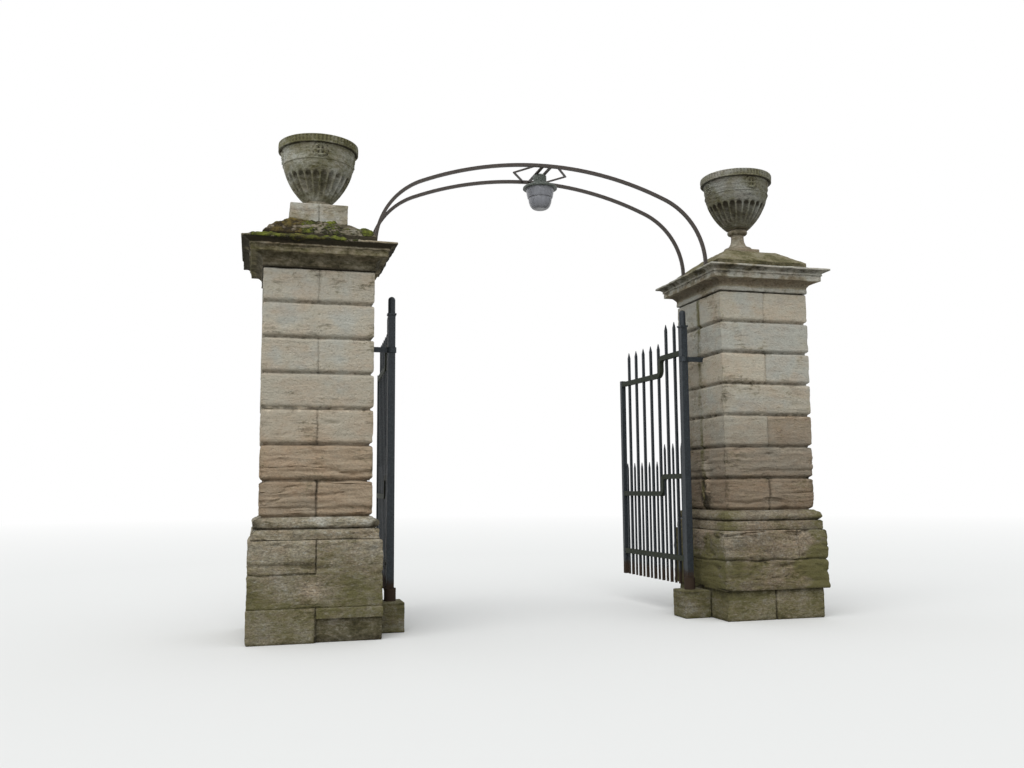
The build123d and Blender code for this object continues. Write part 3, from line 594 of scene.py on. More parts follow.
class GatewayUrns(bpy.types.PropertyGroup):
    """The carving of the urns."""

    flutes: count_of("Flutes", "Flutes round the belly", 24)
    flute_depth: length_of("Flute depth", "Depth of a flute at its widest", 0.022)
    flute_top: length_of("Flute top", "Height of the flutes' round tops above the bowl's foot", 0.245)
    wreath: length_of("Wreath radius", "Radius of the four wreaths on the frieze", 0.05)
    wreath_level: length_of("Wreath height", "Height of the wreaths' middles above the bowl's foot", 0.412)
    relief: length_of("Relief", "Height of the carving on the frieze", 0.012)
    tongues: count_of("Tongues", "Upright tongues round the rim", 64)


class GatewayIron(bpy.types.PropertyGroup):
    """Colours of the ironwork."""

    paint: shade_of("Paint", "Black paint of the leaves", "#24292d")
    chalk: shade_of("Chalked paint", "Paint that has faded", "#3f474d")
    rust: shade_of("Rust", "Rust at the foot of the leaves", "#35291f")
    film: shade_of("Algae", "Green film on upper faces", "#30341b")
    arch: shade_of("Overthrow", "Paint of the overthrow", "#3b3531")
    arch_wear: shade_of("Overthrow wear", "Faded paint of the overthrow", "#5d554e")


class GatewayLamp(bpy.types.PropertyGroup):
    """Colours of the lamp."""

    enamel: shade_of("Enamel", "Enamel of the canopy and housing", "#4a504a")
    chalk: shade_of("Chalked enamel", "Faded enamel", "#8a9088")
    glass: shade_of("Glass", "Milky glass of the bowl", "#9a9ca3")
    grime: shade_of("Grime", "Dirt in streaks", "#4e4f50")
    band_level: length_of("Band height", "Height of the glass bowl's band", 4.094)


class GatewayStage(bpy.types.PropertyGroup):
    """Floor, light and camera."""

    floor: shade_of("Floor", "Pale floor", "#dddddb")
    return_light: shade_of("Floor's return", "What the floor throws back up", "#8c8a84")
    sky: strength_of("Sky", "Strength of the even sky light", 0.72)
    sun: strength_of("Sun", "Strength of the soft main light", 1.7)
    lens: bpy.props.FloatProperty(
        name="Lens", description="Focal length in millimetres", default=32.95, min=1, unit="CAMERA"
    )


# Stone pieces

def noise_on(points, seed):
    """Noise on one set of points. Each kind has a number, a width and a height, or no height if it changes
    only in plan."""
    def noise(number, across, up=math.inf, octaves=3):
        return rough(points, (across, across, up), seed + number, octaves)
    return noise


def start_of(node):
    """What a pier's square stone starts from: its lowest and highest level, half its width and its seed."""
    low, high = corners(node)
    return low[2], high[2], half_width(node), SEEDS[node]


def corner_radius(outline, places, seed):
    """A worn corner radius that changes up the stone and from corner to corner."""
    heights = outline[:, 1:]
    side = np.arange(4 * (len(places) - 1))[None, :] // (len(places) - 1)
    spots = np.stack(np.broadcast_arrays(side * 7.3, heights * 0, heights), axis=-1)
    return 0.007 + 0.03 * np.clip(rough(spots, (1.0, 1.0, 0.07), seed, 2), 0, 1)


def worn_stone(side, outline, places, seed, part=1.0, more=0.0):
    """A square stone on one pier's axis; its corners have part of the worn radius and a little more."""
    return SquareStone(AXIS[side], outline, places, corner_radius(outline, places, seed) * part + more)


def on_gate_face(stone, side):
    """Which points look into the gateway."""
    return stone.outward[..., 0] * TO_GATEWAY[side] > 0.7


def bed_wear(stone, course_low, course_high, settings, seed, eroded):
    """How deep a course's face is worn: swells, open beds, rounded arrises, chips, lost lumps, and a groove
    above a bulging lower edge where the stone is soft."""
    noise = noise_on(stone.local, seed)
    on_beds = noise_on(stone.tilted(0.018, 0.3, 0.3, seed + 5), seed)
    swells = settings.waviness * share(noise(0, 0.34, 0.12))
    beds = (0.002 + 0.013 * eroded) * share(on_beds(7, 0.3, 0.03) * 1.8)
    gaps = near(on_beds(27, 0.4, 0.055, 2), 0.12, 0.06)
    gaps = 0.015 * gaps * rise(noise(29, 0.16, 0.08), 0.0, 0.4) * eroded
    wavy = 0.006 * noise(9, 0.12, octaves=2)
    edge = near(stone.z + wavy, course_low, 0.022) + near(stone.z + wavy, course_high, 0.016)
    chips = 0.3 + 0.7 * share(noise(11, 0.13, 0.3, 2) * 1.5) ** 2
    arris = settings.arris * (1 + 1.2 * eroded) * edge * chips
    lost = 0.026 * rise(on_beds(17, 0.3, 0.07), 0.35, 0.6) * (0.25 + eroded)
    soft = rise(noise(23, 0.5, 0.2), -0.5, 0.2) * eroded
    groove = 0.024 * near(stone.z + 1.5 * wavy, course_low + 0.072, 0.014) * soft
    under = 0.014 * rise(stone.z, course_low + 0.07, course_low + 0.05) * soft
    return swells + beds + gaps + arris + lost + groove + under


def shaft_sheets(side, settings):
    """The shaft's courses as rings: half width less the joint's recess at top and bottom, full between."""
    low, high, half, seed = start_of(side + "_shaft")
    left, right = side == "left", side == "right"
    pitch = (high - low) / COURSES
    places = side_places(half, settings.step, 1)
    inset = half - settings.recess
    sheets = []
    for course in range(COURSES):
        z0 = low + course * pitch
        z1 = z0 + pitch
        eroded = (1.0 if left else 0.75) * rise(z0, low + 2.6 * pitch, low + 0.6 * pitch)
        step = settings.step * (0.62 if eroded > 0.3 else 1.0)
        face = divided([(half, z0 + 0.03), (half, z1 - 0.02)], step)
        lower = [(inset, z0), (inset + 0.002, z0 + 0.010), (half - 0.007, z0 + 0.019)]
        upper = [(half - 0.005, z1 - 0.011), (inset + 0.001, z1 - 0.006), (inset, z1)]
        outline = closed(np.concatenate([lower, face, upper]))
        stone = worn_stone(side, outline, places, seed + course)
        z, along = stone.z, stone.along
        split = course % 2 == 0
        depth = bed_wear(stone, z0, z1, settings, seed + 31 * course, eroded)
        wander = 0.004 * swell(stone.local, (0.1, 0.1, 0.1), seed + 2)
        joint = np.clip(0.017 - np.abs(along + wander), 0, None) * (0.8 + 0.9 * eroded) * split
        block = stone_number(stone, course, split, seed)
        depth = np.maximum(depth, joint) + 0.3 * np.minimum(depth, joint) + 0.002 * (1 + block)
        points = stone.worn(depth)
        noise = noise_on(points, seed)
        bed = np.clip(near(z, z0 + 0.004, 0.019) + near(z, z1, 0.010), 0, 1)
        patchy = rough(stone.local, (0.45, 0.45, 0.22), seed + 3)
        foot = rise(z, z0 + 0.075, z0 + 0.05) * eroded
        warm = 0.55 * eroded + 0.14 * rise(z0, 2.3, 1.7) + 0.1 * patchy + 0.4 * foot * share(2 * block)
        warm = warm + (0.05 if left else 0.16) * block
        middle_of_face = rise(stone.edge, 0.1, 0.26) * near(z, (z0 + z1) / 2, 0.1) * (1 - eroded)
        warm = warm - 0.12 * middle_of_face * rise(patchy, -0.4, 0.3)
        upright = near(along + wander, 0, 0.016) * split
        # Algae grow under the cornice, and in a streak down the right pier's gate face
        gate_face = on_gate_face(stone, side)
        streak = near(along, 0, 0.04) * rise(noise(5, 0.1, 0.5), -0.5, 0.3)
        crown = rise(z, high - 0.3, high)
        green = 0.02 + 0.2 * crown * share(patchy) + 1.1 * streak * gate_face * right
        below = near(along - 0.05, 0, 0.12) * rise(z, 1.7, 2.5) * (z < 2.5)
        green = green + 0.4 * below * gate_face * right + 0.15 * near(stone.edge, 0, 0.04)
        deep = near(depth, 0.04, 0.02) * eroded
        crust = 0.5 * bed * (1 - 0.4 * eroded) + (0.22 + 0.3 * eroded) * upright
        crust = crust + 0.6 * near(z, high, 0.02) + 0.2 * deep
        # Painted shade and damp darken the lower courses, the right pier's much more
        shade_and_damp = (0.3 if left else 2.0) * rise(z, low + 4.4 * pitch, low + 0.3 * pitch)
        tone = 0.4 * block + 0.1 + 0.25 * share(patchy) - 0.4 * bed - shade_and_damp - 0.3 * upright
        # Rain runs down the middle of the right pier's gate face, and leaves it pale and black below
        drip = near(along, 0.02, 0.1) * gate_face * rise(z, 1.7, 1.3) * right
        runs = noise(6, 0.06, 0.11, 2)
        tone = tone + 3.2 * drip * rise(runs, 0.0, 0.25)
        crust = crust + 1.1 * drip * rise(runs, 0.0, -0.3)
        # One stone on the right pier's front is rosier, and lime has run out of one bed joint
        rosy = right * (course == 2) * (stone.side == 0) * (along > 0)
        warm, tone = warm + (0.3 + 0.15 * patchy) * rosy, tone - (0.5 + 0.3 * patchy) * rosy
        lime = near(z, low + 3 * pitch, 0.03) * rise(noise(8, 0.05, 0.03, 2), 0.2, 0.5)
        tone, crust = tone + 2.5 * lime, crust - 0.8 * lime
        # Dark water marks run down the right pier's upper corners
        run_down = near(stone.edge, 0.02, 0.03) * rise(runs, -0.2, 0.4) * rise(z0, high - 0.9, high - 1.5)
        crust = crust + 0.4 * run_down * right
        sheets.append(Sheet(points, tone=tone, warm=warm, green=green, crust=crust))
    return sheets


def plinth_sheets(side, settings):
    """The plinth as one ring: joints are narrow grooves, and the top arris is a worn quarter round."""
    low, high, half, seed = start_of(side + "_plinth")
    left, right = side == "left", side == "right"
    middle = (low + high) / 2
    places = side_places(half, settings.step, 1)
    round_top = bent((half, high - 0.028), (half - 0.0082, high - 0.0082), (half - 0.028, high), 6)
    outline = [(half - 0.004, low), (half, low + 0.012), (half, middle - 0.012), (half, middle - 0.004)]
    outline += [(half, middle + 0.004), (half, middle + 0.012), (half, high - 0.028)]
    outline = closed(np.concatenate([divided(outline, settings.step * 0.85), round_top[1:]]))
    stone = worn_stone(side, outline, places, seed, more=0.008)
    points, z = stone.local, stone.z
    noise = noise_on(points, seed)
    swells = 1.8 * settings.waviness * share(noise(0, 0.3, 0.16))
    coarse = 0.012 * share(noise(5, 0.05, 0.03, 2))
    beds = (0.008 if left else 0.018) * share(1.5 * noise(9, 0.5, 0.05))
    lost = 0.03 * rise(noise(13, 0.32, 0.1), 0.3, 0.8 if left else 0.5)
    wander = 0.01 * noise(2, 0.2, octaves=1)
    ledge = 0.014 * near(z + wander, high - 0.2, 0.016) * ((stone.side == 0) & (stone.along < 0)) * left
    has_bed = np.where(stone.side == 0, stone.along < 0, 1.0) if left else 1.0
    bed = near(z + wander, middle, 0.008) * has_bed
    has_joint = rise(z, middle - 0.02, middle + 0.02) if left else (z > middle) * 1.0
    upright = near(stone.along + 0.7 * wander - (0 if left else 0.24), 0, 0.007) * has_joint
    sloped = noise_on(stone.tilted(0.02, 0.25, 0.2, seed + 35), seed)
    open_bed = near(sloped(37, 0.4, 0.07, 2), 0.1, 0.05)
    open_bed = open_bed * rise(noise(39, 0.2, 0.1), 0.0, 0.4) * (0.4 if left else 1.0)
    depth = swells + coarse + beds + lost + ledge + 0.016 * np.clip(bed + upright + open_bed, 0, 1)
    block = stone_number(stone, 1, 1, seed) + 0.5 * noise(30, 0.8, 0.278, 1)
    damp = share(noise(21, 0.34, 0.24) * 1.3)
    dark = rise(noise(25, 0.16, 0.07), 0.2, 0.75)
    # Low on the left pier's front one patch is bare of algae
    patch = near(stone.along + 0.02, 0.0, 0.17) * near(z, low + 0.12, 0.09) * (stone.side == 0) * left
    # The right pier is green on its gate face, at its outer end and in its lower course, and pale at a corner
    ends = np.maximum(rise(points[..., 0], 0.1, half - 0.08), 0.9 * on_gate_face(stone, side))
    ragged = rise(noise(33, 0.25, 0.12) + 0.9 * ends, 0.35, 0.75)
    lower = rise(z, middle + 0.01, middle - 0.03) * right
    corner_pale = near(np.hypot(points[..., 0] + half, points[..., 1] + half), 0.04, 0.09)
    corner_pale = corner_pale * rise(z, middle + 0.03, middle + 0.1) * right
    green = (0.26 if left else 0.16) + 0.6 * damp * rise(z, high, low + 0.25) - 0.8 * patch
    green = green + 0.45 * rise(z, middle, low) * left + 0.75 * ragged * right
    green = green + 0.16 * lower - 0.7 * corner_pale
    warm = 0.1 + 0.05 * damp + 0.12 * patch + (0.0 if left else 0.3) * rise(stone.edge, 0.05, 0.3)
    warm = warm + 0.12 * lower
    crust = 0.7 * np.clip(bed + upright, 0, 1) + 0.5 * near(z, low, 0.014) + 0.55 * dark
    crust = crust + 0.5 * ledge / 0.014
    tone = 0.4 * block - 0.9 * share(lost * 40) + 0.4 * rise(z, low + 0.2, high) + 0.5 * patch
    # Painted shade and damp darken the right plinth
    tone = tone + (0.3 if left else -0.8) - 0.5 * damp - 0.4 * rise(z, middle, low)
    chalky = rise(noise(41, 0.13, 0.05), 0.3, 0.6)
    tone = tone + 0.9 * chalky + (0.2 if left else 1.0) * noise(43, 0.22, 0.12)
    tone = tone + 0.9 * corner_pale
    crust, green = crust + 0.7 * open_bed - 0.3 * chalky, green - 0.3 * chalky
    return [Sheet(stone.worn(depth), tone=tone, warm=warm, green=green, crust=crust)]


def foot_sheets(side, settings):
    """The lowest course as one ring; the left pier's block by the gateway is cut back below a thin band."""
    low, high, half, seed = start_of(side + "_foot_course")
    places = side_places(half, settings.step, 1)
    band = high - 0.09
    outline = [(half - 0.006, low), (half, low + 0.012), (half, band - 0.002), (half, band + 0.004)]
    outline += [(half, high - 0.01), (half - 0.006, high)]
    outline = closed(divided(outline, settings.step * 0.9))
    stone = worn_stone(side, outline, places, seed, more=0.01)
    noise = noise_on(stone.local, seed)
    swells = 2.0 * settings.waviness * share(noise(0, 0.3, 0.16))
    coarse = 0.012 * share(noise(5, 0.05, 0.03, 2))
    upright = near(stone.along, 0, 0.008)
    worn = stone.worn(swells + coarse + 0.018 * upright)
    x = (worn[..., 0] - AXIS[side][0]) * TO_GATEWAY[side]
    under = (stone.z < band) * (x > 0.004) * (side == "left") * (stone.half > 0.1)
    front = AXIS[side][1] - half + 0.045
    back = under * (worn[..., 1] < front)
    worn[..., 1] = np.where(back, front + 0.3 * (worn[..., 1] - AXIS[side][1] + half), worn[..., 1])
    damp = share(noise(21, 0.4, 0.3))
    green = 0.45 + 0.5 * damp + 0.25 * (stone.z > band) * (x > 0)
    crust = 0.65 * upright + 0.45 * back + 0.35 * near(stone.z, low, 0.05) + 0.1 * damp
    # Painted shadow under the plinth, with black-green growth, darkens the top of the right footing
    if side == "right":
        crust = crust + 0.5 * near(stone.z, high, 0.05)
    tone = 0.4 * stone_number(stone, 0, 1, seed) - 0.4
    return [Sheet(worn, tone=tone, warm=0.12, green=green, crust=crust)]


def base_sheets(side, settings):
    """A plain band and a torus above it as one ring; the torus is a half ellipse, eroded along its bed."""
    low, high, half, seed = start_of(side + "_base_mould")
    left, right = side == "left", side == "right"
    shaft_half = half_width(side + "_shaft")
    places = side_places(half, settings.step, 0.6)
    foot = shaft_half + 0.018
    band_top = low + 0.09
    centre = (band_top + high - 0.014) / 2
    turn = np.linspace(-math.pi / 2, math.pi / 2, 14)
    torus = np.stack([foot + 0.034 * np.cos(turn), centre + (centre - band_top) * np.sin(turn)], axis=1)
    band = [(half - 0.006, low), (half, low + 0.006), (half, band_top - 0.012), (half - 0.014, band_top)]
    band = divided(band + [(foot, band_top)], 0.009)
    outline = closed(np.concatenate([band, torus[1:], [(shaft_half, high)]]))
    stone = worn_stone(side, outline, places, seed, more=0.012)
    z = stone.z
    noise = noise_on(stone.local, seed)
    swells = settings.waviness * share(noise(0, 0.3, 0.05))
    beds = 0.012 * share(1.5 * noise(9, 0.5, 0.024, 2))
    lost = 0.03 * rise(noise(13, 0.2, 0.05), 0.25, 0.8) * (z > band_top)
    notch = 0.06 * near(stone.edge, 0, 0.06) * near(z, band_top + 0.02, 0.04) * (stone.side % 2 == 0)
    # Painted shadow under the torus, in the quirk above the band
    quirk_shadow = near(z, band_top + 0.006, 0.014)
    damp = share(noise(21, 0.3, 0.1))
    low_half = rise(z, low + 0.05, low + 0.02) * rise(noise(28, 0.25, 0.03), 0, 0.5)
    over = rise(z, band_top, band_top + 0.02)
    green = 0.12 + 0.25 * damp + 0.6 * near(stone.edge, 0, 0.2) * right
    crust = 0.75 * quirk_shadow + 0.5 * low_half + 0.25 * damp * over + 0.5 * near(z, low, 0.008)
    crust = crust + 0.5 * over * near(stone.edge, 0, 0.07) * left
    tone = 0.3 + 0.2 * over + 0.3 * stone_number(stone, 3, 1, seed) - 0.8 * share(lost * 50)
    # Painted shade and damp darken the right base
    tone = tone - 1.4 * right
    warm = 0.2 * right + 0.1 * (1 - over)
    worn = stone.worn(swells + beds + lost + notch * left)
    return [Sheet(worn, tone=tone, warm=warm, green=green, crust=crust)]


def cavetto(foot, top, count):
    """A hollow quarter ellipse, upright at its foot and level at its top."""
    turn = np.linspace(math.pi, math.pi / 2, count)
    wide, high = top[0] - foot[0], top[1] - foot[1]
    return np.stack([top[0] + wide * np.cos(turn), foot[1] + high * np.sin(turn)], axis=1)


def cornice_sheets(side, settings):
    """The cornice as one ring: an upright foot, a cavetto, a fascia, a fillet, a flaring cymatium and a
    weathered top that rises to the cap."""
    low, high, half, seed = start_of(side + "_cornice")
    left = side == "left"
    places = side_places(half, settings.step, 0)
    foot, bed, fascia, fillet = (half_width(side + "_shaft") + out for out in (0.01, 0.096, 0.109, 0.121))
    foot_top, bed_top = low + 0.04, low + 0.112
    fascia_top, fillet_top = bed_top + 0.052, bed_top + 0.064
    crest = high - 0.024
    lip = crest - 0.02
    outline = closed(np.concatenate([
        divided([(foot, low), (foot, foot_top)], 0.012),
        cavetto((foot, foot_top), (bed, bed_top), 12)[1:],
        divided([(bed, bed_top), (fascia - 0.002, bed_top), (fascia, bed_top + 0.003)], 0.012)[1:],
        divided([(fascia, fascia_top - 0.002), (fascia, fascia_top)], 0.012),
        divided([(fillet - 0.002, fascia_top), (fillet, fascia_top + 0.002), (fillet, fillet_top)], 0.012),
        cavetto((fillet, fillet_top), (half, lip), 9)[1:],
        divided([(half, lip), (half, crest - 0.005), (half - 0.007, crest)], 0.007)[1:],
        divided([(half - 0.007, crest), (half_width(side + "_cap"), high)], 0.016)[1:],
    ]))
    stone = worn_stone(side, outline, places, seed, 0.9, 0.006)
    points, level = stone.local, stone.z
    noise = noise_on(points, seed)
    swells = 0.006 * share(noise(0, 0.4, 0.1))
    upper = rise(level, bed_top + 0.03, crest)
    chips = (0.04 if left else 0.024) * upper * rise(noise(4, 0.09, 0.04, 2), 0.15, 0.8)
    chips = chips + 0.008 * share(1.5 * noise(14, 0.12, 0.02, 2))
    grit = 0.003 * share(noise(6, 0.03, 0.02, 2))
    lift = 0.007 * np.minimum(noise(8, 0.14), 0) * rise(level, fillet_top, crest)
    # The bands of colour wander where the arrises have gone
    mark = level + 0.009 * noise(30, 0.08, 0.04) * rise(level, bed_top - 0.02, bed_top)
    on_top = rise(stone.half, half - 0.002, half - 0.02) * (level > lip)
    # Painted shade darkens the cavetto and its upright foot; algae and warmth follow them too
    shaded_cove = rise(mark, bed_top + 0.006, bed_top - 0.004)
    shaded_cove = shaded_cove * (1 if left else rise(mark, foot_top - 0.01, foot_top + 0.03))
    cyma = rise(mark, fillet_top - 0.004, fillet_top + 0.01) * rise(mark, lip + 0.012, lip)
    line = near(mark, fascia_top, 0.006) + near(mark, low, 0.012)
    damp = share(noise(21, 0.22, 0.12))
    runs = share(rough(points * [1, 1, 0.2], (0.07, 0.07, 0.3), seed + 26) * 1.6)
    # Painted light lightens the fascia where the cymatium shades it; its stains and algae follow it too
    lit_fascia = rise(mark, bed_top - 0.002, bed_top + 0.006) * rise(mark, fascia_top + 0.004, fascia_top - 0.004)
    edge = near(mark, fillet_top - 0.005, 0.006)
    moss = np.zeros_like(level)
    if left:
        clean = near(mark, bed_top + 0.010, 0.012)
        west = rise(-points[..., 0], half - 0.2, half - 0.02)
        crust = 0.66 * shaded_cove + (1.0 + 0.3 * runs) * cyma + 0.4 * line + 0.3 * lit_fascia * runs
        crust = crust - 0.6 * clean - 0.3 * edge
        green = 0.1 + 0.6 * cyma * damp + lit_fascia * (0.15 + 0.75 * damp) + 0.5 * on_top
        green = green + 0.5 * shaded_cove + 0.5 * west
        tone = 0.1 - 0.9 * shaded_cove + 1.4 * clean + 1.2 * edge - 1.6 * cyma + 0.7 * lit_fascia - 0.5 * west
        flaked = rise(noise(31, 0.07, 0.04, 2), 0.3, 0.7)
        tone, crust = tone + 2.6 * cyma * flaked, crust - 0.7 * cyma * flaked
        # Moss grows on the top from the front and the west, and hangs over the lip in one place
        spread = noise(40, 0.16)
        front_left = rise(-points[..., 0] - 0.6 * points[..., 1], -0.05, 0.3) * (points[..., 1] < 0.3)
        hung = near(points[..., 0], -0.2, 0.13) * (points[..., 1] < -half + 0.1)
        reach = rise(level, lip - 0.008 - 0.06 * hung * share(2 * spread), lip + 0.012)
        moss = 1.15 * rise(spread + 0.9 * front_left + 0.4 * hung, 0.35, 0.65) * reach
        lumps = share(noise(43, 0.06, 0.05, 2) * 2)
        chips = chips * (1 - 0.8 * np.clip(moss, 0, 1))
        lift = lift + 0.034 * np.clip(moss, 0, 1) * lumps * on_top
        moss = moss * (0.4 + 0.6 * lumps)
    else:
        crust = 0.36 * shaded_cove + (0.25 + 0.6 * runs) * cyma + 0.6 * line + 0.18 * lit_fascia * runs - 0.3 * edge
        green = 0.05 + 0.35 * cyma * damp + 0.1 * lit_fascia * damp + 0.75 * on_top
        tone = 0.15 - 1.3 * shaded_cove + 1.0 * lit_fascia - 0.3 * cyma + 1.0 * edge
    gate_face = on_gate_face(stone, side)
    # A painted highlight lightens the crest's edge; the top is crusted, more where damp
    crust = crust - 0.4 * near(mark, crest, 0.008) + (0.2 + 0.45 * damp) * on_top
    green = green + 0.35 * upper * gate_face + 0.2 * shaded_cove * gate_face * runs
    tone = tone - (0.9 if left else 0.5) * on_top
    # Painted shade: the cove on the shaded gate face is darker still
    tone = tone - (0.2 if left else 0.9) * shaded_cove * gate_face
    depth = swells + chips + grit - 0.012 * np.clip(moss, 0, 1) * (level < crest) * left
    worn = seat_cut(stone.worn(depth, lift), side, lip)
    warm = 0.08 + 0.05 * shaded_cove if left else 0.42 * shaded_cove - 0.14
    return [Sheet(worn, tone=tone, warm=warm, green=green, crust=crust, moss=moss)]


def seat_cut(points, side, above):
    """Press points down flat where one of the overthrow's feet stands, if they lie over a level."""
    low, high = corners("arch_shoes")
    inner = abs(high[0] if side == "right" else low[0]) - SHOE_HALF[0]
    reach = (high[1] - low[1]) / 2 - SHOE_HALF[1]
    across = np.abs(np.abs(points[..., 0]) - inner)
    deep = np.abs(np.abs(points[..., 1] - AXIS[side][1]) - reach)
    seat = (across < SEAT_HALF[0]) & (deep < SEAT_HALF[1]) & (points[..., 2] > above)
    points[..., 2] = np.where(seat, np.minimum(points[..., 2], low[2] - 0.0005), points[..., 2])
    return points


def cap_sheets(side):
    """The cap as one ring: an upright edge, the slope and the flat, raised where moss grows in cushions and
    cut away where the overthrow's feet stand."""
    low, high, half, seed = start_of(side + "_cap")
    left = side == "left"
    places = side_places(half, 0.011, 0)
    edge = low + 0.063
    flat = 0.28
    outline = divided([(half, low), (half, edge - 0.008), (half - 0.008, edge), (flat, high)], 0.011)
    flat_top = divided([(flat, high), (0.02, high)], 0.03)[1:]
    stone = worn_stone(side, closed(np.concatenate([outline, flat_top])), places, seed, 0.6, 0.006)
    points, z = stone.local, stone.z
    noise = noise_on(points, seed)
    slope = rise(stone.half, half, half - 0.03)
    on_flat = rise(stone.half, 0.24, 0.3)
    lift = (0.01 * noise(0, 0.3) + 0.006 * noise(4, 0.05)) * slope * on_flat
    spread = noise(8, 0.3)
    damp = share(noise(12, 0.2) * 1.3)
    upright = rise(z, edge - 0.002, edge - 0.014) * rise(stone.half, half - 0.02, half - 0.002)
    runs = share(rough(points * [1, 1, 0.2], (0.08, 0.08, 0.3), seed + 26) * 1.6)
    depth = 0.016 * rise(noise(18, 0.12, 0.05), 0.1, 0.9) * rise(stone.half, half - 0.1, half)
    if left:
        front = rise(-points[..., 1] - 0.5 * points[..., 0], -0.2, 0.3)
        moss = 1.15 * rise(spread + 0.9 * front, 0.4, 0.7) * rise(z, low + 0.03, low + 0.06)
        lumps = share(noise(15, 0.085, 0.06) * 1.9)
        tufts = share(noise(17, 0.034, 0.03, 2) * 2)
        lift = lift + np.clip(moss, 0, 1) * (0.034 * lumps + 0.016 * tufts - 0.004) * slope * on_flat
        depth = depth * (1 - np.clip(moss, 0, 1))
        moss = moss * (0.1 + 0.6 * lumps + 0.3 * tufts)
        green, crust, tone = 0.3 + 0.4 * damp, 0.45 + 0.35 * damp + 0.5 * upright, -1.0
    else:
        moss = 0.55 * rise(spread, 0.5, 0.8) * slope
        lift = lift + 0.008 * moss * on_flat
        green, crust, tone = 0.6 + 0.4 * damp, 0.14 + 0.25 * damp + 0.5 * upright * runs, -0.7
    crust = crust + 0.6 * near(z, low, 0.012) * (stone.half > half - 0.01)
    # The left cap's moss has died back on the west side
    warm = 0.1 + 0.36 * rise(-points[..., 0] + 0.3 * noise(19, 0.09, octaves=2), 0.08, 0.3) * left
    worn = seat_cut(stone.worn(depth, lift), side, low - 1)
    return [Sheet(worn, tone=tone, warm=warm, green=green, crust=crust, moss=moss)]


def block_sheets(node, settings, joint, mossy, tone, warm, film):
    """A rough block: a rectangle in plan with worn arrises and, where it has one, an upright middle joint."""
    low, high = corners(node)
    seed = SEEDS[node]
    halves = (high[:2] - low[:2]) / 2
    half = float(halves.max())
    step = settings.step * 0.8
    places = side_places(half, step, joint)
    outline = divided([(half - 0.006, low[2]), (half, low[2] + 0.006), (half, high[2] - 0.008)], step)
    outline = closed(np.concatenate([outline, [(half - 0.003, high[2] - 0.003), (half - 0.012, high[2])]]))
    corner = corner_radius(outline, places, seed)
    stone = SquareStone(centre_of(node), outline, places, corner, tuple(halves / half))
    noise = noise_on(stone.local + [seed * 0.37, 0, 0], seed)
    swells = settings.waviness * share(noise(0, 0.2, 0.1))
    beds = 0.009 * share(1.4 * noise(5, 0.5, 0.03))
    upright = near(stone.along, 0, 0.006) * joint
    damp = share(noise(9, 0.2, 0.15))
    foot = rise(stone.z, low[2] + 0.05, low[2])
    bedding = noise(14, 0.3, 0.02, 2)
    green = 0.05 + 0.25 * damp + 0.3 * foot + film
    crust = 0.35 * upright + 0.2 * foot * damp + 0.4 * film * damp + 0.4 * rise(bedding, -0.3, -0.6)
    worn = stone.worn(swells + beds + 0.014 * upright)
    moss = mossy * foot * damp
    return [Sheet(worn, tone=tone + 0.7 * bedding, warm=warm, green=green, crust=crust, moss=moss)]


# Urns

def turned_points(axis, outline, count, push=None):
    """A profile carried round an upright axis: x = r cos, y = r sin, with r pushed out or in where asked."""
    turn = np.linspace(0, 2 * math.pi, count, endpoint=False) - math.pi / 2
    radius = np.broadcast_to(outline[:, :1], (len(outline), count))
    if push is not None:
        radius = np.maximum(radius + push * rise(radius, 0.01, 0.06), 0)
    z = np.broadcast_to(outline[:, 1:], radius.shape)
    return np.stack([axis[0] + radius * np.cos(turn), axis[1] + radius * np.sin(turn), z], axis=-1)


def bowl_outline():
    """The bowl's profile above its foot, and how many of its points are outside: belly, ledge bead, frieze,
    the rim's square foot and the rim, and then the inside."""
    outside = [
        divided([(0.0, 0.0), (0.12, 0.0)], 0.04)[:-1],
        bent((0.12, 0.0), (0.224, 0.115), (0.321, 0.335), 56),
        bent((0.321, 0.335), (0.327, 0.341), (0.321, 0.347), 6)[1:],
        divided([(0.321, 0.347), (0.338, 0.479)], 0.005)[1:],
        divided([(0.338, 0.479), (0.366, 0.479), (0.368, 0.481)], 0.006)[1:],
        divided([(0.368, 0.481), (0.368, 0.539)], 0.006)[1:],
        bent((0.368, 0.539), (0.3645, 0.5475), (0.356, 0.551), 4)[1:],
    ]
    inside = [
        bent((0.356, 0.551), (0.340, 0.553), (0.322, 0.549), 5)[1:],
        divided([(0.322, 0.549), (0.292, 0.479), (0.275, 0.335)], 0.03)[1:],
        bent((0.275, 0.335), (0.198, 0.193), (0.097, 0.075), 9)[1:],
        [(0.04, 0.07), (0.0, 0.07)],
    ]
    return np.concatenate([*outside, *inside]), sum(len(part) for part in outside)


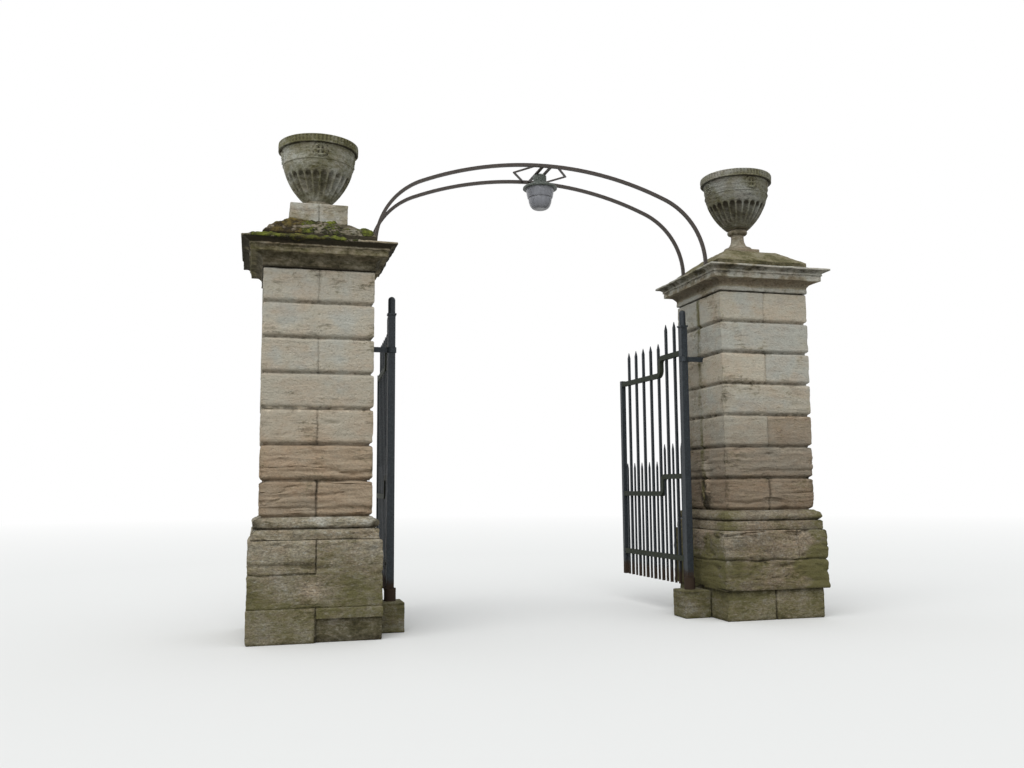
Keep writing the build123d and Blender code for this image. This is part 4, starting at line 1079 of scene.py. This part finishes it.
def urn_carving(settings, turn, height, radius, outer):
    """How far the bowl's surface stands out of its profile, in metres.

    Flutes: less the depth times the root of 1 - u^2 - v^2, u across a flute and v past the height where it
    starts to close. Wreath: a bell about a circle on the frieze, lobed like leaves, with a four-lobed flower
    in it. Swags: a bell about a parabola hung between wreaths. Rim: upright tongues as a cosine.
    """
    u = (2 * ((turn * settings.flutes / (2 * math.pi)) % 1) - 1) / 0.86
    v = np.clip((height - settings.flute_top + 0.034) / 0.034, 0, None)
    hollow = np.sqrt(np.clip(1 - u ** 2 - v ** 2, 0, 1)) * rise(height, 0.004, 0.03)
    flutes = -settings.flute_depth * hollow * (0.25 + 0.75 * rise(radius, 0.12, 0.29))
    quarter = (turn + math.pi / 4) % (math.pi / 2) - math.pi / 4
    across = quarter * radius
    above = height - settings.wreath_level
    from_middle = np.hypot(across, above)
    round_it = np.arctan2(above, across)
    leaves = 0.7 + 0.3 * np.cos(16 * round_it)
    wreath = near(from_middle, settings.wreath, 0.011) * leaves
    flower = near(from_middle, 0.0, 0.026) * (0.5 + 0.5 * np.cos(4 * round_it))
    gaps = near(from_middle, settings.wreath * 0.55, 0.012) * (0.55 - 0.45 * np.cos(4 * round_it))
    sunk = gaps + (0.45 + 0.15 * np.cos(11 * round_it)) * near(from_middle, settings.wreath + 0.02, 0.01)
    past = np.clip((np.abs(quarter) - 0.17) / (math.pi / 4 - 0.17), 0, 1)
    hang = 0.018 - 0.045 * (1 - (1 - past) ** 2) * 0.75
    beads = 0.7 + 0.3 * np.cos(quarter * 70)
    swag = near(above, hang, 0.011) * rise(np.abs(quarter), 0.15, 0.2) * beads * 0.3
    carved = settings.relief * (1.2 * wreath + 0.8 * flower - 0.8 * sunk + swag)
    tongues = 0.005 * (np.cos(turn * settings.tongues) - 1)
    tongues = tongues * rise(height, 0.482, 0.492) * rise(height, 0.545, 0.535)
    return (flutes + carved * rise(height, 0.348, 0.36) * rise(height, 0.478, 0.468) + tongues) * outer


def bowl_sheets(side, settings, film):
    """One urn's bowl: the turned profile, the carving, and wear that takes lumps off the rim."""
    node = side + "_urn_bowl"
    low, high = corners(node)
    axis = centre_of(node)
    left = side == "left"
    outline, last_outer = bowl_outline()
    count = 16 * settings.flutes
    turn = np.linspace(0, 2 * math.pi, count, endpoint=False)[None, :]
    radius, height = outline[:, :1], outline[:, 1:]
    outer = (np.arange(len(outline)) < last_outer)[:, None] * 1.0
    carving = urn_carving(settings, turn, height, radius, outer)
    lifted = outline + [0, low[2]]
    lifted[:, 1] = np.minimum(lifted[:, 1], high[2])
    noise = noise_on(turned_points(axis, lifted, count) - [*axis, low[2]], SEEDS[node])
    wear = -0.004 * share(noise(0, 0.12, 0.12)) - 0.002 * share(noise(3, 0.025, 0.025, 2))
    beds = share(1.6 * noise(5, 0.3, 0.022, 2)) * rise(height, 0.24, 0.3)
    wear = wear - 0.004 * beds * (0.4 if left else 1)
    rim = rise(height, 0.47, 0.49)
    wear = wear - 0.012 * rim * rise(noise(6, 0.08, 0.08), 0.4, 0.95)
    points = turned_points(axis, lifted, count, carving + wear)
    # Painted shade in the flutes' hollows
    hollow = rise(-carving, 0.004, 0.016) * (height < 0.3)
    damp = share(noise(9, 0.16, 0.16) * 1.4)
    # Painted shadow under the flutes' round tops
    tops = near(height, settings.flute_top - 0.022, 0.026) * rise(-carving, 0.004, 0.012)
    # Painted shadow in the quirk under the rim
    quirk_shadow = rise(height, 0.47, 0.479) * rise(radius, 0.362, 0.352) * outer
    # Painted shade in the sunk parts of the wreaths
    wreath = rise(-carving, 0.002, 0.005) * rise(height, 0.35, 0.36) * (height < 0.47)
    crust = 0.05 + (0.3 if left else 0.75) * tops + 0.36 * hollow + 0.8 * quirk_shadow + 0.5 * (outer == 0)
    crust = crust + 0.15 * rise(height, 0.24, 0.05) + (0.7 if left else 0.5) * wreath
    crust = crust + 0.3 * near(height, 0.349, 0.006) * outer
    # Painted shade in the grooves between the rim's tongues
    crust = crust + 0.35 * rise(-carving, 0.004, 0.009) * (height > 0.485) * outer
    # Painted highlight on the arrises between the flutes
    ridge_highlight = (1 - hollow) * rise(height, 0.245, 0.22) * rise(height, 0.0, 0.03) * outer
    west = rise(-np.cos(turn), 0.1, 0.9)
    green = film + 0.3 * damp + (0.45 if left else 0.15) * rim + 0.4 * west - 0.1 * hollow
    tone = 0.35 * rise(height, 0.24, 0.3) + 0.2 * rim - 0.3 * rise(height, 0.24, 0.1)
    tone = tone + 0.3 * damp - 0.3 * beds - (0.4 * rim - 0.5 * (height > 0.3) if left else 1.8) + 0.8 * ridge_highlight
    return [Sheet(points, tone=tone, warm=-0.05, green=green, crust=crust, moss=0.0)]


def turned_sheets(node, outline, wear):
    """A turned stone: a profile above the node's foot, carried round its axis and worn in swells."""
    low, high = corners(node)
    axis = centre_of(node)
    lifted = closed(np.asarray(outline) + [0, low[2]])
    lifted[:, 1] = np.minimum(lifted[:, 1], high[2])
    noise = noise_on(turned_points(axis, lifted, TURNED_STEPS) - [*axis, 0], SEEDS[node])
    points = turned_points(axis, lifted, TURNED_STEPS, -wear * share(noise(0, 0.06, 0.06)))
    damp = share(noise(3, 0.1, 0.1))
    return [Sheet(points, tone=0.3 * damp - 0.3, warm=0.25, green=0.35 * damp, crust=0.2)]


def fragment_sheets():
    """The broken stone that lies on the right cap: a ball flattened and pressed out of round by noise."""
    cap_top = corners("right_cap")[1][2]
    slab_end = corners("right_urn_slab")[1][0]
    rows, columns = 22, 34
    v = np.linspace(-math.pi / 2, math.pi / 2, rows)[:, None]
    u = np.linspace(0, 2 * math.pi, columns, endpoint=False)[None, :]
    ball = np.stack(np.broadcast_arrays(np.cos(v) * np.cos(u), np.cos(v) * np.sin(u), np.sin(v)), axis=-1)
    swollen = ball * (1 + 0.28 * rough(ball, 0.9, SEEDS["stone_fragment"]))[..., None]
    place = np.array([slab_end + 0.075, AXIS["right"][1] - 0.06, cap_top + 0.014])
    return [Sheet(place + swollen * [0.052, 0.04, 0.03], tone=0.2, warm=0.3, green=0.4, crust=0.2)]


class GATEWAY_OT_footings(bpy.types.Operator):
    """Footings, plinths and base mouldings of both piers, and the stones under the pivots."""

    bl_idname = "gateway.footings"
    bl_label = "Footings and Plinths"

    def execute(self, context):
        settings = context.scene.gateway_stone
        makers = {"_foot_course": foot_sheets, "_plinth": plinth_sheets, "_base_mould": base_sheets}
        for side in SIDES:
            for part, maker in makers.items():
                stand_in(side + part, "_stones", maker(side, settings), "plinth_stone")
            node = side + "_pivot_stone"
            sheets = block_sheets(node, settings, joint=0, mossy=0.4, tone=-1.2, warm=0.04, film=0.5)
            stand_in(node, "_worn", sheets, "plinth_stone")
        return {"FINISHED"}


class GATEWAY_OT_shafts(bpy.types.Operator):
    """The two shafts of seven rusticated courses."""

    bl_idname = "gateway.shafts"
    bl_label = "Shafts"

    def execute(self, context):
        for side in SIDES:
            sheets = shaft_sheets(side, context.scene.gateway_stone)
            stand_in(side + "_shaft", "_courses", sheets, "shaft_stone")
        return {"FINISHED"}


class GATEWAY_OT_cornices(bpy.types.Operator):
    """The cornices and the weathered caps with their moss, and a loose fragment."""

    bl_idname = "gateway.cornices"
    bl_label = "Cornices and Caps"

    def execute(self, context):
        for side in SIDES:
            sheets = cornice_sheets(side, context.scene.gateway_stone)
            stand_in(side + "_cornice", "_stone", sheets, "cornice_stone", sharp=62)
            stand_in(side + "_cap", "_stone", cap_sheets(side), "cap_stone", sharp=70)
        add_piece("stone_fragment", fragment_sheets(), "cap_stone", sharp=35)
        return {"FINISHED"}


class GATEWAY_OT_urns(bpy.types.Operator):
    """The fluted urns on their block, slab and stems."""

    bl_idname = "gateway.urns"
    bl_label = "Urns"

    def execute(self, context):
        urns, stone = context.scene.gateway_urns, context.scene.gateway_stone
        for side, film in (("left", 0.36), ("right", 0.15)):
            stand_in(side + "_urn_bowl", "_carved", bowl_sheets(side, urns, film), "urn_stone", sharp=60)
        block = block_sheets("left_urn_block", stone, joint=1, mossy=0.3, tone=0.35, warm=-0.1, film=0.0)
        stand_in("left_urn_block", "_worn", block, "cap_stone")
        slab = block_sheets("right_urn_slab", stone, joint=0, mossy=0.3, tone=-0.9, warm=0.3, film=0.1)
        stand_in("right_urn_slab", "_worn", slab, "cap_stone")
        foot = bent((0.15, 0.0), (0.123, 0.032), (0.12, 0.064), 14)
        stand_in("left_urn_foot", "_turned", turned_sheets("left_urn_foot", foot, 0.006), "urn_stone")
        turn = np.linspace(math.pi, math.pi * 1.5, 14)
        trumpet = np.stack([0.142 + 0.075 * np.cos(turn), 0.132 + 0.106 * np.sin(turn)], axis=1)[::-1]
        stem = divided(np.concatenate([
            [(0.142, 0.0), (0.142, 0.022), (0.138, 0.026)],
            trumpet[1:],
            [(0.067, 0.174)],
            bent((0.067, 0.175), (0.104, 0.195), (0.067, 0.215), 12),
            cavetto((0.067, 0.215), (0.12, 0.232), 8)[1:],
        ]), 0.01)
        sheets = turned_sheets("right_urn_stem", stem, 0.004)
        stand_in("right_urn_stem", "_turned", sheets, "urn_stone", sharp=60)
        return {"FINISHED"}


# Ironwork

class GATEWAY_OT_leaves(bpy.types.Operator):
    """Paint of the gate leaves, their straps and their pivot cups."""

    bl_idname = "gateway.leaves"
    bl_label = "Gate Leaves"

    def execute(self, context):
        # The rails hold water and are greener than the upright iron
        for side in SIDES:
            for part in LEAF_PARTS + ("top_strap",):
                dress(f"{side}_{part}", finish_of("rail_iron" if "rail" in part else "gate_iron"))
            dress(side + "_pivot_cup", finish_of("rusty_iron"))
        return {"FINISHED"}


def dress(node, material):
    """Give a CAD node its finish."""
    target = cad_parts[node]
    if not target.material_slots:
        raise RuntimeError(node + " has no material slot")
    for slot in target.material_slots:
        slot.material = material


class GATEWAY_OT_overthrow(bpy.types.Operator):
    """The twin ribs, their feet and the ties at the crown."""

    bl_idname = "gateway.overthrow"
    bl_label = "Overthrow"

    def execute(self, context):
        for node in ("front_arch", "back_arch", "arch_shoes", "cross_ties"):
            dress(node, finish_of("arch_iron"))
        return {"FINISHED"}


class GATEWAY_OT_lamp(bpy.types.Operator):
    """The lamp's housing, canopy and opal bowl."""

    bl_idname = "gateway.lamp"
    bl_label = "Lamp"

    def execute(self, context):
        dress("lamp_housing", finish_of("lamp_metal"))
        dress("lamp_canopy", finish_of("lamp_metal"))
        dress("lamp_globe", finish_of("lamp_glass"))
        return {"FINISHED"}


# Stage

# Half the floor's side, and where it starts and ends to fade, in metres
FLOOR_REACH = 60.0
FLOOR_FADE = (9.0, 34.0)
SKY_TINT = (0.96, 0.98, 1.0, 1.0)
# The light from the sides and from overhead, as shares of the sky's strength
SIDE_LIGHT, TOP_LIGHT = 0.62, 1.5
# The main light's spread, and how far it is tipped and turned, in degrees
GLOW_SPREAD, GLOW_TIP, GLOW_TURN = 70, 48, -34
# The camera's place in metres, its turn, tip and roll in degrees, and its sensor in millimetres
CAMERA_PLACE = (-2.647, -8.963, 1.261)
CAMERA_ANGLES = (15.269, 6.303, -0.434)
SENSOR_WIDTH = 36.0
CAMERA_REACH = 200.0


def pale_floor(settings):
    """A matt painted floor that keeps soft shadows and fades to white far away."""
    material, tree = new_tree("matt floor paint")
    place = add(tree, "TexCoord").outputs["Object"]
    far = add(tree, "VectorMath", [place], operation="LENGTH")
    fade = add(tree, "MapRange", [far, *FLOOR_FADE, 0.0, 1.0])
    # Seen straight, in a gloss or through glass it is pale; it throws up only what a mid-grey floor would
    ray = add(tree, "LightPath").outputs
    seen = add(tree, "Math", [ray["Is Camera Ray"], ray["Is Glossy Ray"]], operation="MAXIMUM")
    seen = add(tree, "Math", [seen, ray["Is Transmission Ray"]], operation="MAXIMUM")
    shown = {0: seen, 6: settings.return_light, 7: settings.floor}
    shown = add(tree, "Mix", shown, data_type="RGBA")
    paint = add(tree, "BsdfDiffuse", [shown])
    white = add(tree, "Emission", [WHITE, 1.0])
    mixed = add(tree, "MixShader", [fade, paint, white])
    add(tree, "OutputMaterial", {"Surface": mixed})
    return material


def set_camera(scene, lens):
    """The camera stands outside the gateway, turned, tipped and rolled by three small angles."""
    turn, tip, roll = (math.radians(angle) for angle in CAMERA_ANGLES)
    ahead = np.array([math.sin(turn) * math.cos(tip), math.cos(turn) * math.cos(tip), math.sin(tip)])
    right = np.array([math.cos(turn), -math.sin(turn), 0.0])
    up = np.cross(right, ahead)
    across = right * math.cos(roll) + up * math.sin(roll)
    upright = up * math.cos(roll) - right * math.sin(roll)
    data = bpy.data.cameras.new("photo view")
    data.lens = lens
    data.sensor_width = SENSOR_WIDTH
    data.clip_end = CAMERA_REACH
    camera = bpy.data.objects.new("photo view", data)
    place = Matrix(np.stack([across, upright, -ahead], axis=1).tolist()).to_4x4()
    place.translation = CAMERA_PLACE
    camera.matrix_world = place
    scene.collection.objects.link(camera)
    scene.camera = camera


class GATEWAY_OT_stage(bpy.types.Operator):
    """The floor, the soft light and the camera."""

    bl_idname = "gateway.stage"
    bl_label = "Stage"

    def execute(self, context):
        scene = context.scene
        settings = scene.gateway_stage
        scene.view_settings.view_transform = "Standard"
        square = FLOOR_REACH * np.array([(-1, -1, 0), (1, -1, 0), (1, 1, 0), (-1, 1, 0)])
        mesh = bpy.data.meshes.new("floor")
        mesh.from_pydata(square.tolist(), [], [(0, 1, 2, 3)])
        mesh.materials.append(pale_floor(settings))
        floor = bpy.data.objects.new("floor", mesh)
        floor.location.z = -0.001
        scene.collection.objects.link(floor)
        world = bpy.data.worlds.new("studio")
        scene.world = world
        world.use_nodes = True
        tree = world.node_tree
        tree.nodes.clear()
        ray = add(tree, "LightPath").outputs
        seen = add(tree, "Math", [ray["Is Camera Ray"], ray["Is Transmission Ray"]], operation="MAXIMUM")
        seen = add(tree, "Math", [seen, ray["Is Glossy Ray"]], operation="MAXIMUM")
        # Soft daylight is brighter from overhead than from the sides
        way = add(tree, "SeparateXYZ", [add(tree, "TexCoord").outputs["Generated"]])
        sides, top = SIDE_LIGHT * settings.sky, TOP_LIGHT * settings.sky
        dome = add(tree, "MapRange", [way.outputs[2], 0.0, 1.0, sides, top])
        light = add(tree, "Background", [SKY_TINT, dome])
        white = add(tree, "Background", [WHITE, 1.0])
        mixed = add(tree, "MixShader", [seen, light, white])
        add(tree, "OutputWorld", [mixed])
        lamp = bpy.data.lights.new("soft sky glow", "SUN")
        lamp.energy = settings.sun
        lamp.angle = math.radians(GLOW_SPREAD)
        glow = bpy.data.objects.new("soft sky glow", lamp)
        glow.rotation_euler = (math.radians(GLOW_TIP), 0, math.radians(GLOW_TURN))
        scene.collection.objects.link(glow)
        set_camera(scene, settings.lens)
        return {"FINISHED"}


STEPS = (
    GATEWAY_OT_stage,
    GATEWAY_OT_footings,
    GATEWAY_OT_shafts,
    GATEWAY_OT_cornices,
    GATEWAY_OT_urns,
    GATEWAY_OT_leaves,
    GATEWAY_OT_overthrow,
    GATEWAY_OT_lamp,
)


class GATEWAY_PT_panel(bpy.types.Panel):
    """Lists the steps that dress the gateway."""

    bl_label = "Gateway"
    bl_idname = "GATEWAY_PT_panel"
    bl_space_type = "VIEW_3D"
    bl_region_type = "UI"
    bl_category = "Gateway"

    def draw(self, context):
        for step in STEPS:
            self.layout.operator(step.bl_idname)


GROUPS = {
    "gateway_stone": GatewayStone,
    "gateway_urns": GatewayUrns,
    "gateway_iron": GatewayIron,
    "gateway_lamp": GatewayLamp,
    "gateway_stage": GatewayStage,
}


def register():
    """Put the settings, the steps and the panel into Blender."""
    for name, group in GROUPS.items():
        bpy.utils.register_class(group)
        setattr(bpy.types.Scene, name, bpy.props.PointerProperty(type=group))
    for item in STEPS + (GATEWAY_PT_panel,):
        bpy.utils.register_class(item)


def unregister():
    """Take them out again."""
    for item in (GATEWAY_PT_panel,) + STEPS[::-1]:
        bpy.utils.unregister_class(item)
    for name, group in reversed(GROUPS.items()):
        delattr(bpy.types.Scene, name)
        bpy.utils.unregister_class(group)


def main():
    """Run every step."""
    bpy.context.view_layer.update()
    register()
    for step in STEPS:
        group, name = step.bl_idname.split(".")
        getattr(getattr(bpy.ops, group), name)()


if __name__ == "__main__":
    main()
